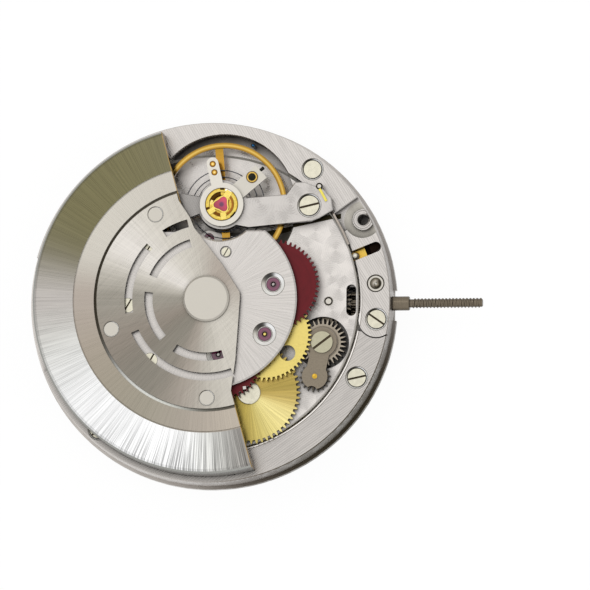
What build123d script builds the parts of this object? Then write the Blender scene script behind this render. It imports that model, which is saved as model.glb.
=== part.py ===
from build123d import *
import os
from math import asin, atan2, cos, degrees, hypot, pi, radians, sin, sqrt

# An automatic watch movement seen from its rotor side.
# +Z points from the dial seat to the rotor, +X runs out along the winding stem,
# and the origin is on the hand axis in the plane of the dial seat.

# Driving sizes of the frame
plate_radius = 14.05
flange_radius = 14.25
flange_height = 0.55
flange_flat_half_width = 1.20
ring_seat_height = 2.60
bridge_seat_height = 2.95
train_bridge_radius = 11.60
train_bridge_thickness = 0.40
ring_thickness = 0.50
ring_gap = 0.10
edge_bevel = 0.12

# Clearances
axial_gap = 0.10
pivot_gap = 0.03
running_gap = 0.05
seat_gap = 0.02
pocket_gap = 0.20
overrun = 1.00

# Dial side
date_pocket_radius = 12.35
date_wheel_thickness = 0.10
motion_wheel_thickness = 0.14
date_ring_outer_radius = 12.25
date_ring_inner_radius = 10.00
date_ring_thickness = 0.20
date_tooth_depth = 0.42
date_count = 31
guard_plate_radius = 10.20
guard_plate_thickness = 0.12
hour_pipe_radius = 0.75
hour_pipe_reach = 0.35
cannon_radius = 0.45
cannon_reach = 0.65
cannon_waist_radius = 0.28
seconds_pin_radius = 0.125
seconds_reach = 0.95
seconds_body_radius = 0.30
guard_hole_radius = 1.35
dial_foot_radius = 0.35
dial_foot_circle = 13.05
dial_foot_depth = 1.60
dial_foot_angles = (52.0, 232.0)

# Wheels: module and tooth counts
auto_module = 0.1234
reversing_teeth = 56
rotor_pinion_teeth = 15
relay_module = 0.1212
relay_teeth = 57
relay_driver_teeth = 8
ratchet_module = 0.134
ratchet_teeth = 58
relay_pinion_teeth = 11
crown_module = 0.1153
crown_teeth = 29
idler_teeth = 18
transfer_teeth = 28
winding_pinion_teeth = 14
barrel_module = 0.120
barrel_teeth = 76
great_pinion_teeth = 14
great_module = 0.112
great_teeth = 75
third_pinion_teeth = 10
third_module = 0.1125
third_teeth = 64
seconds_pinion_teeth = 8
seconds_module = 0.0786
seconds_teeth = 84
escape_pinion_teeth = 7
motion_module = 0.12
cannon_teeth = 12
minute_teeth = 36
hour_module = 0.1152
minute_pinion_teeth = 10
hour_teeth = 40
setting_teeth = 20
date_module = 0.15
date_pinion_teeth = 16
date_idler_teeth = 24
date_wheel_teeth = 32

# Directions from one wheel centre to the next, in degrees
second_reverser_angle = -78.2
first_reverser_angle = 52.05
ratchet_angle = 253.1
great_angle = 165.5
minute_angle = -20.0
setting_angle = 17.0
second_setting_angle = 22.0
idler_angle = 258.2
date_idler_angle = 190.0
date_wheel_angle = 205.0

# Stack above the train bridge
winding_gap = 0.07
ratchet_thickness = 0.25
lower_plate_thickness = 0.20
relay_thickness = 0.18
reversing_thickness = 0.24
auto_bridge_thickness = 0.36
auto_bridge_radius = 7.00
auto_bridge_top_edge = 5.41
auto_balance_radius = 2.88
rotor_lift = 0.22
rotor_plate_thickness = 0.25

# Rotor
rotor_radius = 13.60
rotor_band_radius = 10.45
rotor_groove_radius = 8.70
rotor_groove_width = 0.22
rotor_lip_radius = 7.20
rotor_lip_thickness = 0.28
rotor_step = 0.09
rotor_rim_radius = 11.60
rotor_rim_drop = 1.15
rotor_skirt_radius = 12.80
rotor_skirt_drop = 2.02
rotor_edge_angle = 105.5
rotor_cap_radius = 1.80
rotor_cap_thickness = 0.28
rotor_bevel = 0.30
rotor_rivet_radius = 0.55
rotor_rivet_circle = 7.75
rotor_rivet_angles = (121.3, 197.3, 270.8)
rotor_axle_radius = 0.55
rotor_bearing_radius = 1.10
outer_slot_radii = (5.78, 6.40)
inner_slot_radii = (4.20, 4.85)
outer_slot_angles = ((104.0, 123.0), (137.0, 190.0), (204.0, 290.0))
inner_slot_angles = ((106.0, 157.0), (173.0, 222.0), (237.5, 287.0))

# Balance and its bridge
balance_centre = (1.00, 7.50)
balance_radius = 4.96
balance_rim_width = 0.42
balance_rim_height = 0.34
balance_arm_width = 0.62
balance_hub_radius = 0.62
balance_arm_angle = 5.0
balance_well_radius = 5.60
balance_bottom = 2.95
balance_bridge_bottom = 3.62
balance_bridge_thickness = 0.45
regulator_thickness = 0.16
regulator_ring_radius = 1.70
regulator_reach = 3.75
regulator_arm_width = 0.92
regulator_arm_angle = 103.0
stud_reach = 4.00
stud_arm_width = 1.30
stud_arm_angle = 40.0
shock_radius = 1.27
cap_jewel_radius = 0.46
staff_radius = 0.30
staff_pivot_radius = 0.07
roller_radius = 0.75
roller_thickness = 0.14
impulse_reach = 0.50
impulse_pin_radius = 0.07

# Hairspring
hairspring_turns = 5
hairspring_inner_radius = 0.62
hairspring_pitch = 0.52
hairspring_wire = 0.08

# Escapement
pallet_centre = (-0.20, 5.10)
escape_teeth = 15
escape_radius = 2.05
escape_thickness = 0.14

# Train wheels
train_wheel_thickness = 0.14
seconds_wheel_thickness = 0.10
pallet_bridge_thickness = 0.25
pivot_radius = 0.10
pivot_length = 0.26
arbor_body_radius = 0.22
train_jewel_radius = 0.55

# Crown wheel and its neighbours
crown_centre = (8.86, -3.26)
crown_rise = 0.22
crown_bore_radius = 0.60
transfer_thickness = 0.26
transfer_stud_radius = 0.37

# Barrel
barrel_bottom = 1.10
barrel_height = 1.35
barrel_rim_thickness = 0.35
barrel_floor_thickness = 0.20
barrel_pivot_radius = 0.35
arbor_square_side = 0.90
barrel_wall = 0.22
barrel_lid_thickness = 0.18
arbor_radius = 0.75
arbor_core_radius = 1.15
mainspring_turns = 5
mainspring_pitch = 0.53
mainspring_thickness = 0.10

# Stem and keyless works
stem_height = 1.65
stem_radius = 0.55
stem_neck_radius = 0.23
stem_thread_radius = 0.39
stem_shoulder_end = 15.40
stem_tip = 21.10
stem_square_side = 0.52
stem_pilot_radius = 0.22
stem_inner_end = 8.35
winding_pinion_inner = 10.88
winding_pinion_outer = 11.75
sliding_pinion_inner = 9.60
sliding_pinion_radius = 0.78
sliding_groove_radius = 0.50
sliding_travel = 0.70
setting_lever_pivot = (12.91, 1.40)
release_radius = 0.62
release_travel = 0.15
cover_plate_edge_radius = 1.40


def polar(centre, distance, angle):
    """The point at a distance and an angle in degrees from a centre."""
    return (
        centre[0] + distance * cos(radians(angle)),
        centre[1] + distance * sin(radians(angle)),
    )


def level(height, at=(0.0, 0.0)):
    """A horizontal plane at a height, with its origin over a point."""
    return Plane((at[0], at[1], height))


def pitch_distance(module, first_teeth, second_teeth):
    """Centre distance of two meshing wheels."""
    return module * (first_teeth + second_teeth) / 2


def meeting(first, first_distance, second, second_distance):
    """The point at given distances from two centres, left of the line from first to second."""
    span = hypot(second[0] - first[0], second[1] - first[1])
    along = (first_distance**2 - second_distance**2 + span**2) / (2 * span)
    aside = sqrt(first_distance**2 - along**2)
    heading = degrees(atan2(second[1] - first[1], second[0] - first[0]))
    return polar(polar(first, along, heading), aside, heading + 90)


def heading(first, second):
    """Direction from one centre to another, in degrees."""
    return degrees(atan2(second[1] - first[1], second[0] - first[0]))


def meshed_turn(turn, teeth, next_teeth, angle):
    """The turn that puts a space of the next wheel over a tooth of this one."""
    offset = (turn - angle) * teeth / 360
    return angle + 180 - (offset + 0.5) * 360 / next_teeth


# Proportions of small fittings
slot_width_share = 0.22
slot_depth_share = 0.55
jewel_cup_share = 0.36
dimple_radius_share = 0.6
dimple_depth_share = 0.5

# Tooth forms: addendum and dedendum in modules, then half widths at the root,
# at the pitch circle and at the tip in tooth pitches
fine_tooth_shares = (0.90, 1.25, 0.26, 0.19, 0.07)
deep_tooth_shares = (1.60, 2.00, 0.24, 0.15, 0.04)


def tip_radius(module, teeth, shares=fine_tooth_shares):
    """Radius over the teeth."""
    return module * (teeth / 2 + shares[0])


def tooth_points(module, teeth, turn, shares):
    """Corners of a toothed outline about its own centre."""
    addendum, dedendum, root, middle, tip = shares
    pitch_radius = module * teeth / 2
    corners = (
        (pitch_radius - dedendum * module, -root),
        (pitch_radius, -middle),
        (pitch_radius + addendum * module, -tip),
        (pitch_radius + addendum * module, tip),
        (pitch_radius, middle),
        (pitch_radius - dedendum * module, root),
    )
    return [
        polar((0, 0), radius, turn + (tooth + share) * 360 / teeth)
        for tooth in range(teeth)
        for radius, share in corners
    ]


def gear(at, bottom, top, module, teeth, turn=0.0, shares=fine_tooth_shares):
    """A toothed disc, added to the part in hand."""
    with BuildSketch(level(bottom, at)) as outline:
        with BuildLine():
            Polyline(*tooth_points(module, teeth, turn, shares), close=True)
        make_face()
    extrude(outline.sketch, amount=top - bottom)


def post(at, bottom, top, radius, mode=Mode.ADD):
    """A round post or hole between two heights."""
    with Locations((at[0], at[1], bottom)):
        Cylinder(radius, top - bottom, align=(Align.CENTER, Align.CENTER, Align.MIN), mode=mode)


def dish(at, bottom, top, low_radius, high_radius):
    """A bevelled seat round a hole, widening up to a top face."""
    slope = (high_radius - low_radius) / (top - bottom)
    with Locations((at[0], at[1], bottom)):
        Cone(
            low_radius, high_radius + slope * overrun, top - bottom + overrun,
            align=(Align.CENTER, Align.CENTER, Align.MIN), mode=Mode.SUBTRACT,
        )


def seat_bevel(at, top, radius):
    """The polished bevel round the seat of a screw head."""
    dish(at, top - seat_bevel_depth, top, radius, radius + seat_bevel_width)


def collar(at, bottom, top, outer, inner):
    """A round collar with its own bore."""
    with BuildSketch(level(bottom, at)) as outline:
        Circle(outer)
        Circle(inner, mode=Mode.SUBTRACT)
    extrude(outline.sketch, amount=top - bottom)


def slab(points, bottom, top, corner=0.0, mode=Mode.ADD):
    """A flat piece with a cornered outline, its corners rounded if a radius is given."""
    with BuildSketch(level(bottom)) as outline:
        with BuildLine():
            Polyline(*points, close=True)
        make_face()
        if corner:
            fillet(outline.vertices(), corner)
    extrude(outline.sketch, amount=top - bottom, mode=mode)


def bar(start, end, width, bottom, top, mode=Mode.ADD):
    """A straight flat arm with round ends, from one centre to another."""
    length = hypot(end[0] - start[0], end[1] - start[1])
    middle = ((start[0] + end[0]) / 2, (start[1] + end[1]) / 2)
    with BuildSketch(level(bottom, middle)) as outline:
        SlotCenterToCenter(length, width, rotation=heading(start, end))
    extrude(outline.sketch, amount=top - bottom, mode=mode)


def sector(inner, outer, start, end, bottom, top, mode=Mode.ADD):
    """Part of a ring about the hand axis, between two directions in degrees."""
    middle = (start + end) / 2
    with BuildSketch(level(bottom)) as outline:
        with BuildLine():
            ThreePointArc(
                polar(hand_axis, outer, start), polar(hand_axis, outer, middle), polar(hand_axis, outer, end)
            )
            Line(polar(hand_axis, outer, end), polar(hand_axis, inner, end))
            ThreePointArc(
                polar(hand_axis, inner, end), polar(hand_axis, inner, middle), polar(hand_axis, inner, start)
            )
            Line(polar(hand_axis, inner, start), polar(hand_axis, outer, start))
        make_face()
    extrude(outline.sketch, amount=top - bottom, mode=mode)


def screw(at, seat, head_radius, head_height, shank_radius, shank_length, slot_angle):
    """A slotted cheese-head screw standing on its seat height."""
    slot_width = head_radius * slot_width_share
    slot_depth = head_height * slot_depth_share
    post(at, seat, seat + head_height, head_radius)
    post(at, seat - shank_length, seat, shank_radius)
    with Locations(Location((at[0], at[1], seat + head_height), (0, 0, slot_angle))):
        Box(2 * head_radius + overrun, slot_width, 2 * slot_depth, mode=Mode.SUBTRACT)


def jewel(at, bottom, top, radius, hole):
    """A ruby bearing with its oil cup."""
    collar(at, bottom, top, radius, hole)
    with Locations((at[0], at[1], top)):
        Sphere(radius * jewel_cup_share, mode=Mode.SUBTRACT)


# Wheel centres
hand_axis = (0.0, 0.0)
second_reverser = polar(
    hand_axis, pitch_distance(auto_module, rotor_pinion_teeth, reversing_teeth), second_reverser_angle
)
first_reverser = polar(
    second_reverser, pitch_distance(auto_module, reversing_teeth, reversing_teeth), first_reverser_angle
)
relay_distance = pitch_distance(relay_module, relay_teeth, relay_driver_teeth)
relay_centre = meeting(first_reverser, relay_distance, second_reverser, relay_distance)
barrel_centre = polar(
    relay_centre, pitch_distance(ratchet_module, relay_pinion_teeth, ratchet_teeth), ratchet_angle
)
great_centre = polar(
    barrel_centre, pitch_distance(barrel_module, barrel_teeth, great_pinion_teeth), great_angle
)
third_centre = meeting(
    great_centre,
    pitch_distance(great_module, great_teeth, third_pinion_teeth),
    hand_axis,
    pitch_distance(third_module, third_teeth, seconds_pinion_teeth),
)
pallet_span = escape_radius / cos(radians(30))
escape_centre = meeting(
    hand_axis,
    pitch_distance(seconds_module, seconds_teeth, escape_pinion_teeth),
    pallet_centre,
    pallet_span,
)
crown_distance = pitch_distance(crown_module, crown_teeth, transfer_teeth)
transfer_centre = (crown_centre[0] + sqrt(crown_distance**2 - crown_centre[1] ** 2), 0.0)
idler_centre = polar(
    crown_centre, pitch_distance(crown_module, crown_teeth, idler_teeth), idler_angle
)
minute_centre = polar(
    hand_axis, pitch_distance(motion_module, cannon_teeth, minute_teeth), minute_angle
)
setting_distance = pitch_distance(motion_module, minute_teeth, setting_teeth)
first_setting_centre = polar(minute_centre, setting_distance, setting_angle)
second_setting_centre = polar(first_setting_centre, motion_module * setting_teeth, second_setting_angle)
date_idler_centre = polar(
    hand_axis, pitch_distance(date_module, date_pinion_teeth, date_idler_teeth), date_idler_angle
)
date_wheel_centre = polar(
    date_idler_centre, pitch_distance(date_module, date_idler_teeth, date_wheel_teeth), date_wheel_angle
)

# Turns that put every wheel in mesh with its neighbour at rest
second_reverser_turn = meshed_turn(0.0, rotor_pinion_teeth, reversing_teeth, second_reverser_angle)
first_reverser_turn = meshed_turn(
    second_reverser_turn, reversing_teeth, reversing_teeth, first_reverser_angle
)
relay_pinion_turn = 0.0
ratchet_turn = meshed_turn(relay_pinion_turn, relay_pinion_teeth, ratchet_teeth, ratchet_angle)
first_driver_turn = meshed_turn(0.0, relay_teeth, relay_driver_teeth, heading(relay_centre, first_reverser))
second_driver_turn = meshed_turn(0.0, relay_teeth, relay_driver_teeth, heading(relay_centre, second_reverser))
great_pinion_turn = meshed_turn(0.0, barrel_teeth, great_pinion_teeth, great_angle)
third_pinion_turn = meshed_turn(0.0, great_teeth, third_pinion_teeth, heading(great_centre, third_centre))
seconds_pinion_turn = meshed_turn(0.0, third_teeth, seconds_pinion_teeth, heading(third_centre, hand_axis))
escape_pinion_turn = meshed_turn(0.0, seconds_teeth, escape_pinion_teeth, heading(hand_axis, escape_centre))
transfer_turn = (0.5 / transfer_teeth) * 360
crown_turn = meshed_turn(transfer_turn, transfer_teeth, crown_teeth, heading(transfer_centre, crown_centre))
idler_turn = meshed_turn(crown_turn, crown_teeth, idler_teeth, idler_angle)
minute_turn = meshed_turn(0.0, cannon_teeth, minute_teeth, minute_angle)
first_setting_turn = meshed_turn(minute_turn, minute_teeth, setting_teeth, setting_angle)
second_setting_turn = meshed_turn(
    first_setting_turn, setting_teeth, setting_teeth, heading(first_setting_centre, second_setting_centre)
)
hour_turn = meshed_turn(0.0, minute_pinion_teeth, hour_teeth, minute_angle + 180)
date_idler_turn = meshed_turn(0.0, date_pinion_teeth, date_idler_teeth, date_idler_angle)
date_wheel_turn = meshed_turn(date_idler_turn, date_idler_teeth, date_wheel_teeth, date_wheel_angle)

# Heights
guard_plate_bottom = seat_gap
guard_plate_top = guard_plate_bottom + guard_plate_thickness
date_ring_bottom = guard_plate_top + running_gap
date_ring_top = date_ring_bottom + date_ring_thickness
hour_wheel_bottom = date_ring_bottom
hour_wheel_top = hour_wheel_bottom + motion_wheel_thickness
date_wheel_bottom = date_ring_top + running_gap
date_wheel_top = date_wheel_bottom + date_wheel_thickness
date_pocket_depth = date_wheel_top + running_gap
motion_wheel_bottom = date_pocket_depth
motion_wheel_top = motion_wheel_bottom + motion_wheel_thickness
motion_pocket_depth = motion_wheel_top + running_gap
barrel_floor = barrel_bottom - axial_gap
train_top = bridge_seat_height + train_bridge_thickness
ring_top = ring_seat_height + ring_thickness
ratchet_bottom = train_top + winding_gap
ratchet_top = ratchet_bottom + ratchet_thickness
lower_plate_bottom = ratchet_top + running_gap
lower_plate_top = lower_plate_bottom + lower_plate_thickness
relay_bottom = lower_plate_top + running_gap
relay_top = relay_bottom + relay_thickness
reversing_bottom = relay_top + axial_gap
reversing_top = reversing_bottom + reversing_thickness
auto_bridge_bottom = reversing_top + axial_gap
auto_bridge_top = auto_bridge_bottom + auto_bridge_thickness
rotor_plate_bottom = auto_bridge_top + rotor_lift
rotor_plate_top = rotor_plate_bottom + rotor_plate_thickness
rotor_weight_top = rotor_plate_top - rotor_step
balance_bridge_top = balance_bridge_bottom + balance_bridge_thickness
barrel_top = barrel_bottom + barrel_height
great_wheel_bottom = barrel_top + axial_gap
great_wheel_top = great_wheel_bottom + train_wheel_thickness
third_wheel_top = great_wheel_bottom - running_gap
third_wheel_bottom = third_wheel_top - train_wheel_thickness
escape_top = third_wheel_bottom - 2 * axial_gap
escape_bottom = escape_top - escape_thickness
seconds_wheel_top = escape_bottom - axial_gap
seconds_wheel_bottom = seconds_wheel_top - seconds_wheel_thickness
train_floor = seconds_wheel_bottom - axial_gap
pallet_bridge_bottom = escape_top + 2 * axial_gap
pallet_bridge_top = pallet_bridge_bottom + pallet_bridge_thickness
crown_top = ratchet_bottom + crown_rise
idler_bottom = train_top + running_gap
transfer_bottom = bridge_seat_height - running_gap - transfer_thickness
contrate_drop = 2.2 * crown_module
barrel_tip_radius = tip_radius(barrel_module, barrel_teeth)
drum_radius = barrel_tip_radius - 3 * barrel_module
great_tip_radius = tip_radius(great_module, great_teeth)
third_tip_radius = tip_radius(third_module, third_teeth)
seconds_tip_radius = tip_radius(seconds_module, seconds_teeth)
crown_tip_radius = tip_radius(crown_module, crown_teeth, deep_tooth_shares)
transfer_tip_radius = tip_radius(crown_module, transfer_teeth, deep_tooth_shares)
pallet_line = heading(escape_centre, pallet_centre)
lever_line = heading(pallet_centre, balance_centre)


def scaled(shares, size):
    """Points written as shares of a size."""
    return [(x_share * size, y_share * size) for x_share, y_share in shares]


def rod(start, end, radius, mode=Mode.ADD):
    """A round rod or hole along the stem line."""
    with BuildSketch(Plane(origin=(start, 0, stem_height), z_dir=(1, 0, 0))) as section:
        Circle(radius)
    extrude(section.sketch, amount=end - start, mode=mode)


def square_rod(start, end, side, mode=Mode.ADD):
    """A square rod or hole along the stem line."""
    with BuildSketch(Plane(origin=(start, 0, stem_height), z_dir=(1, 0, 0))) as section:
        Rectangle(side, side)
    extrude(section.sketch, amount=end - start, mode=mode)


def holes(at, bottom, top, circle, radius, count, turn=0.0):
    """A ring of round holes."""
    for number in range(count):
        post(polar(at, circle, turn + number * 360 / count), bottom, top, radius, Mode.SUBTRACT)


def bevel_top(part, amount):
    """Bevel the edges of the highest flat faces."""
    chamfer(part.faces().filter_by(Axis.Z).sort_by(Axis.Z)[-1].edges(), amount)


# Places on the bridges
train_screws = ((-9.90, 2.00), (-8.00, -6.50), (-1.00, -10.75))
ring_screws = ((11.50, -5.95), (-8.60, -9.80), (-10.60, 7.60), (13.00, -1.40))
auto_screws = ((-4.40, 4.40), (-6.20, -0.40), (-4.40, -4.70))
auto_small_screw = (1.44, 3.71)
bridge_screw_head = 0.70
bridge_screw_shank = 0.35
auto_screw_head = 0.55
auto_screw_shank = 0.25
pillar_radius = 0.60
head_height = 0.20
head_gap = 0.05
seat_bevel_width = 0.12
seat_bevel_depth = 0.10
screw_depth = 0.80
balance_screw = (7.80, 7.40)
balance_left_screw = (-5.35, 7.50)
balance_screw_head = 0.76
balance_foot_radius = 0.85
ring_cap_place = (7.90, 10.35)
clamp_hole = (11.85, 6.40)
clamp_hole_radius = 0.42
clamp_recess_radius = 1.45
click_pivot = (-1.80, -8.60)
pallet_bridge_feet = ((-3.60, 5.90), (2.40, 4.40))
pallet_foot_radius = 0.60
yoke_pivot = (9.90, -3.60)
guard_posts = ((-4.00, 6.20), (4.60, 6.60), (1.50, -7.60))
guard_post_radius = 0.50


# Rings and cover plate
ring_inner = train_bridge_radius + ring_gap
upper_ring_start = 35.5
upper_ring_end = 165.0
lower_ring_start = -158.0
lower_ring_end = -11.0
cover_plate_start = -6.0
cover_plate_end = 28.0
ring_cap_radius = 0.68
clamp_hole_depth = 1.60
stop_pivot = (11.26, 3.60)
stop_pin_radius = 0.19
stop_lever_thickness = 0.16
stop_lever_length = 0.86
stop_lever_top = ring_seat_height - axial_gap
stop_lever_bottom = stop_lever_top - stop_lever_thickness
stop_lever_floor = 1.90
stop_slot_end = (12.90, 4.25)
stop_slot_width = 0.80
bridge_well_gap = 0.15
window_place = (11.05, 0.07)
window_length = 2.45
window_width = 0.77
fit_gap = 0.01
pin_radius = 0.26
small_jewel_radius = 0.40
date_jumper_pivot = (0.60, -8.60)
idler_centre_rest = idler_centre

# Balance bridge
balance_ring_radius = 1.95
shock_plug_radius = 0.80
left_arm_shares = (
    (-0.556, 0.81), (-0.228, 0.736), (-0.05, 0.703), (-0.03, 0.599), (-0.133, 0.558), (-0.44, 0.47), (-0.556, 0.47),
)
right_arm_shares = (
    (0.233, 0.693), (0.516, 0.714), (0.576, 0.795), (0.643, 0.795), (0.765, 0.747),
    (0.819, 0.687), (0.832, 0.606), (0.738, 0.552), (0.684, 0.532), (0.266, 0.491), (0.12, 0.52), (0.12, 0.74),
)
balance_foot_ends = ((-5.75, 6.10), (-5.75, 8.70))
balance_foot_width = 1.20
balance_pin_place = (8.57, 8.90)

# Automatic bridge
jewel_sink_radius = 0.90
jewel_sink_depth = 0.12
jewel_sink_gap = 0.06
small_screw_gap = 0.12
small_screw_radius = 0.35
lower_plate_arm = 0.55
lower_plate_wall = 0.25

# Frame
raised_radius = train_bridge_radius - edge_bevel
transfer_floor = transfer_bottom - contrate_drop - axial_gap
crown_floor = transfer_bottom - axial_gap
stem_box_start = sliding_pinion_inner - sliding_travel - pocket_gap
stem_box_end = winding_pinion_outer + axial_gap
stem_box_width = 2.30
pusher_floor = 1.95
pusher_shaft_radius = 0.20
crown_post_radius = crown_bore_radius - running_gap
crown_screw_shank = 0.30
crown_screw_head = 0.84
crown_screw_height = 0.10
crown_yoke_thickness = 0.14
great_pinion_tip = tip_radius(barrel_module, great_pinion_teeth)
minute_tip = tip_radius(motion_module, minute_teeth)
setting_tip = tip_radius(motion_module, setting_teeth)
keyless_shares = ((0.58, -0.32), (0.70, -0.35), (0.983, -0.13), (0.983, 0.10), (0.84, 0.19), (0.58, 0.09))
balance_foot_shares = ((-0.556, 0.457), (-0.556, 0.81), (-0.371, 0.81), (-0.371, 0.457))
yoke_pivot_radius = 0.35
nose_radius = 0.12
nose_place = (12.55, 0.10)
nose_slot_length = 1.40
nose_slot_width = 0.70


def make_main_plate():
    with BuildPart() as main_plate:
        post(hand_axis, 0, flange_height, flange_radius)
        post(hand_axis, 0, ring_seat_height, plate_radius)
        post(hand_axis, 0, bridge_seat_height, raised_radius)
        # Flat in the flange where the stem comes out
        with Locations((plate_radius, 0, 0)):
            Box(
                flange_radius, 2 * flange_flat_half_width, flange_height,
                align=(Align.MIN, Align.CENTER, Align.MIN), mode=Mode.SUBTRACT,
            )
        # Wells under the bridges
        above = bridge_seat_height + overrun
        post(barrel_centre, barrel_floor, above, barrel_tip_radius + pocket_gap, Mode.SUBTRACT)
        post(great_centre, great_wheel_bottom - axial_gap, above, great_tip_radius + pocket_gap, Mode.SUBTRACT)
        post(great_centre, barrel_floor, above, great_pinion_tip + pocket_gap, Mode.SUBTRACT)
        post(third_centre, third_wheel_bottom - axial_gap, above, third_tip_radius + pocket_gap, Mode.SUBTRACT)
        post(hand_axis, train_floor, above, seconds_tip_radius + pocket_gap, Mode.SUBTRACT)
        post(escape_centre, train_floor, above, escape_radius + pocket_gap, Mode.SUBTRACT)
        post(balance_centre, train_floor, above, balance_well_radius, Mode.SUBTRACT)
        post(transfer_centre, transfer_floor, above, transfer_tip_radius + pocket_gap, Mode.SUBTRACT)
        post(crown_centre, crown_floor, above, crown_tip_radius + pocket_gap, Mode.SUBTRACT)
        # Dial side
        post(hand_axis, -overrun, date_pocket_depth, date_pocket_radius, Mode.SUBTRACT)
        post(minute_centre, -overrun, motion_pocket_depth, minute_tip + pocket_gap, Mode.SUBTRACT)
        post(hand_axis, -overrun, motion_pocket_depth, cannon_teeth * motion_module, Mode.SUBTRACT)
        for centre in (first_setting_centre, second_setting_centre):
            post(centre, -overrun, motion_pocket_depth, setting_tip + pocket_gap, Mode.SUBTRACT)
        slab(scaled(keyless_shares, plate_radius), -overrun, motion_pocket_depth, mode=Mode.SUBTRACT)
        # Posts that stand in the wells and pockets
        for foot in pallet_bridge_feet:
            post(foot, train_floor, pallet_bridge_bottom, pallet_foot_radius)
            post(foot, train_floor, pallet_bridge_bottom + overrun, pin_radius, Mode.SUBTRACT)
        for place in guard_posts:
            post(place, guard_plate_top, date_pocket_depth, guard_post_radius)
            post(place, 0, date_pocket_depth, pin_radius + seat_gap, Mode.SUBTRACT)
        post(crown_centre, crown_floor, crown_top, crown_post_radius)
        post(crown_centre, crown_floor - screw_depth, crown_top + overrun, crown_screw_shank + seat_gap, Mode.SUBTRACT)
        for centre in (minute_centre, first_setting_centre, second_setting_centre):
            post(centre, motion_wheel_bottom - running_gap, motion_pocket_depth, arbor_body_radius)
        post(yoke_pivot, date_ring_top + axial_gap, motion_pocket_depth, yoke_pivot_radius)
        for centre in (date_idler_centre, date_wheel_centre):
            post(centre, date_ring_bottom, date_pocket_depth, yoke_pivot_radius)
        post(date_jumper_pivot, date_ring_bottom, date_pocket_depth, yoke_pivot_radius)
        # Stem box, stem hole and the slot of the setting lever
        with Locations((stem_box_start, 0, motion_wheel_top)):
            Box(
                stem_box_end - stem_box_start, stem_box_width, above,
                align=(Align.MIN, Align.CENTER, Align.MIN), mode=Mode.SUBTRACT,
            )
        rod(stem_box_end, flange_radius + overrun, stem_radius + pivot_gap, Mode.SUBTRACT)
        rod(stem_inner_end - axial_gap, stem_box_start + axial_gap, stem_pilot_radius + pivot_gap, Mode.SUBTRACT)
        with Locations((nose_place[0] - nose_radius - pivot_gap, nose_place[1], motion_wheel_top)):
            Box(
                nose_slot_length, nose_slot_width, stem_height - motion_wheel_top,
                align=(Align.MIN, Align.CENTER, Align.MIN), mode=Mode.SUBTRACT,
            )
        # Holes
        post(setting_lever_pivot, pusher_floor, above, release_radius + pivot_gap, Mode.SUBTRACT)
        post(setting_lever_pivot, 0, above, pusher_shaft_radius + pivot_gap, Mode.SUBTRACT)
        post(hand_axis, 0, above, seconds_body_radius + pivot_gap, Mode.SUBTRACT)
        floors = (
            (great_centre, barrel_floor),
            (third_centre, third_wheel_bottom - axial_gap),
            (escape_centre, train_floor),
            (pallet_centre, train_floor),
            (balance_centre, train_floor),
        )
        for centre, floor in floors:
            post(centre, floor - pivot_length, floor + running_gap, pivot_radius + pivot_gap, Mode.SUBTRACT)
        post(barrel_centre, barrel_floor - pivot_length, barrel_bottom, barrel_pivot_radius + pivot_gap, Mode.SUBTRACT)
        for angle in dial_foot_angles:
            post(polar(hand_axis, dial_foot_circle, angle), -overrun, dial_foot_depth, dial_foot_radius, Mode.SUBTRACT)
        for place in train_screws:
            post(place, ring_seat_height - screw_depth, above, bridge_screw_shank + seat_gap, Mode.SUBTRACT)
        for place in ring_screws:
            post(place, ring_seat_height - screw_depth, above, bridge_screw_shank + seat_gap, Mode.SUBTRACT)
        for place in (balance_screw, balance_left_screw):
            post(place, bridge_seat_height - screw_depth, above, bridge_screw_shank + seat_gap, Mode.SUBTRACT)
        post(clamp_hole, ring_seat_height - clamp_hole_depth, above, clamp_hole_radius, Mode.SUBTRACT)
        post(stop_pivot, stop_lever_bottom - axial_gap, above, stop_lever_length + 2 * pocket_gap, Mode.SUBTRACT)
        post(stop_pivot, stop_lever_floor, above, stop_pin_radius + pivot_gap, Mode.SUBTRACT)
    return main_plate.part


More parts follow.
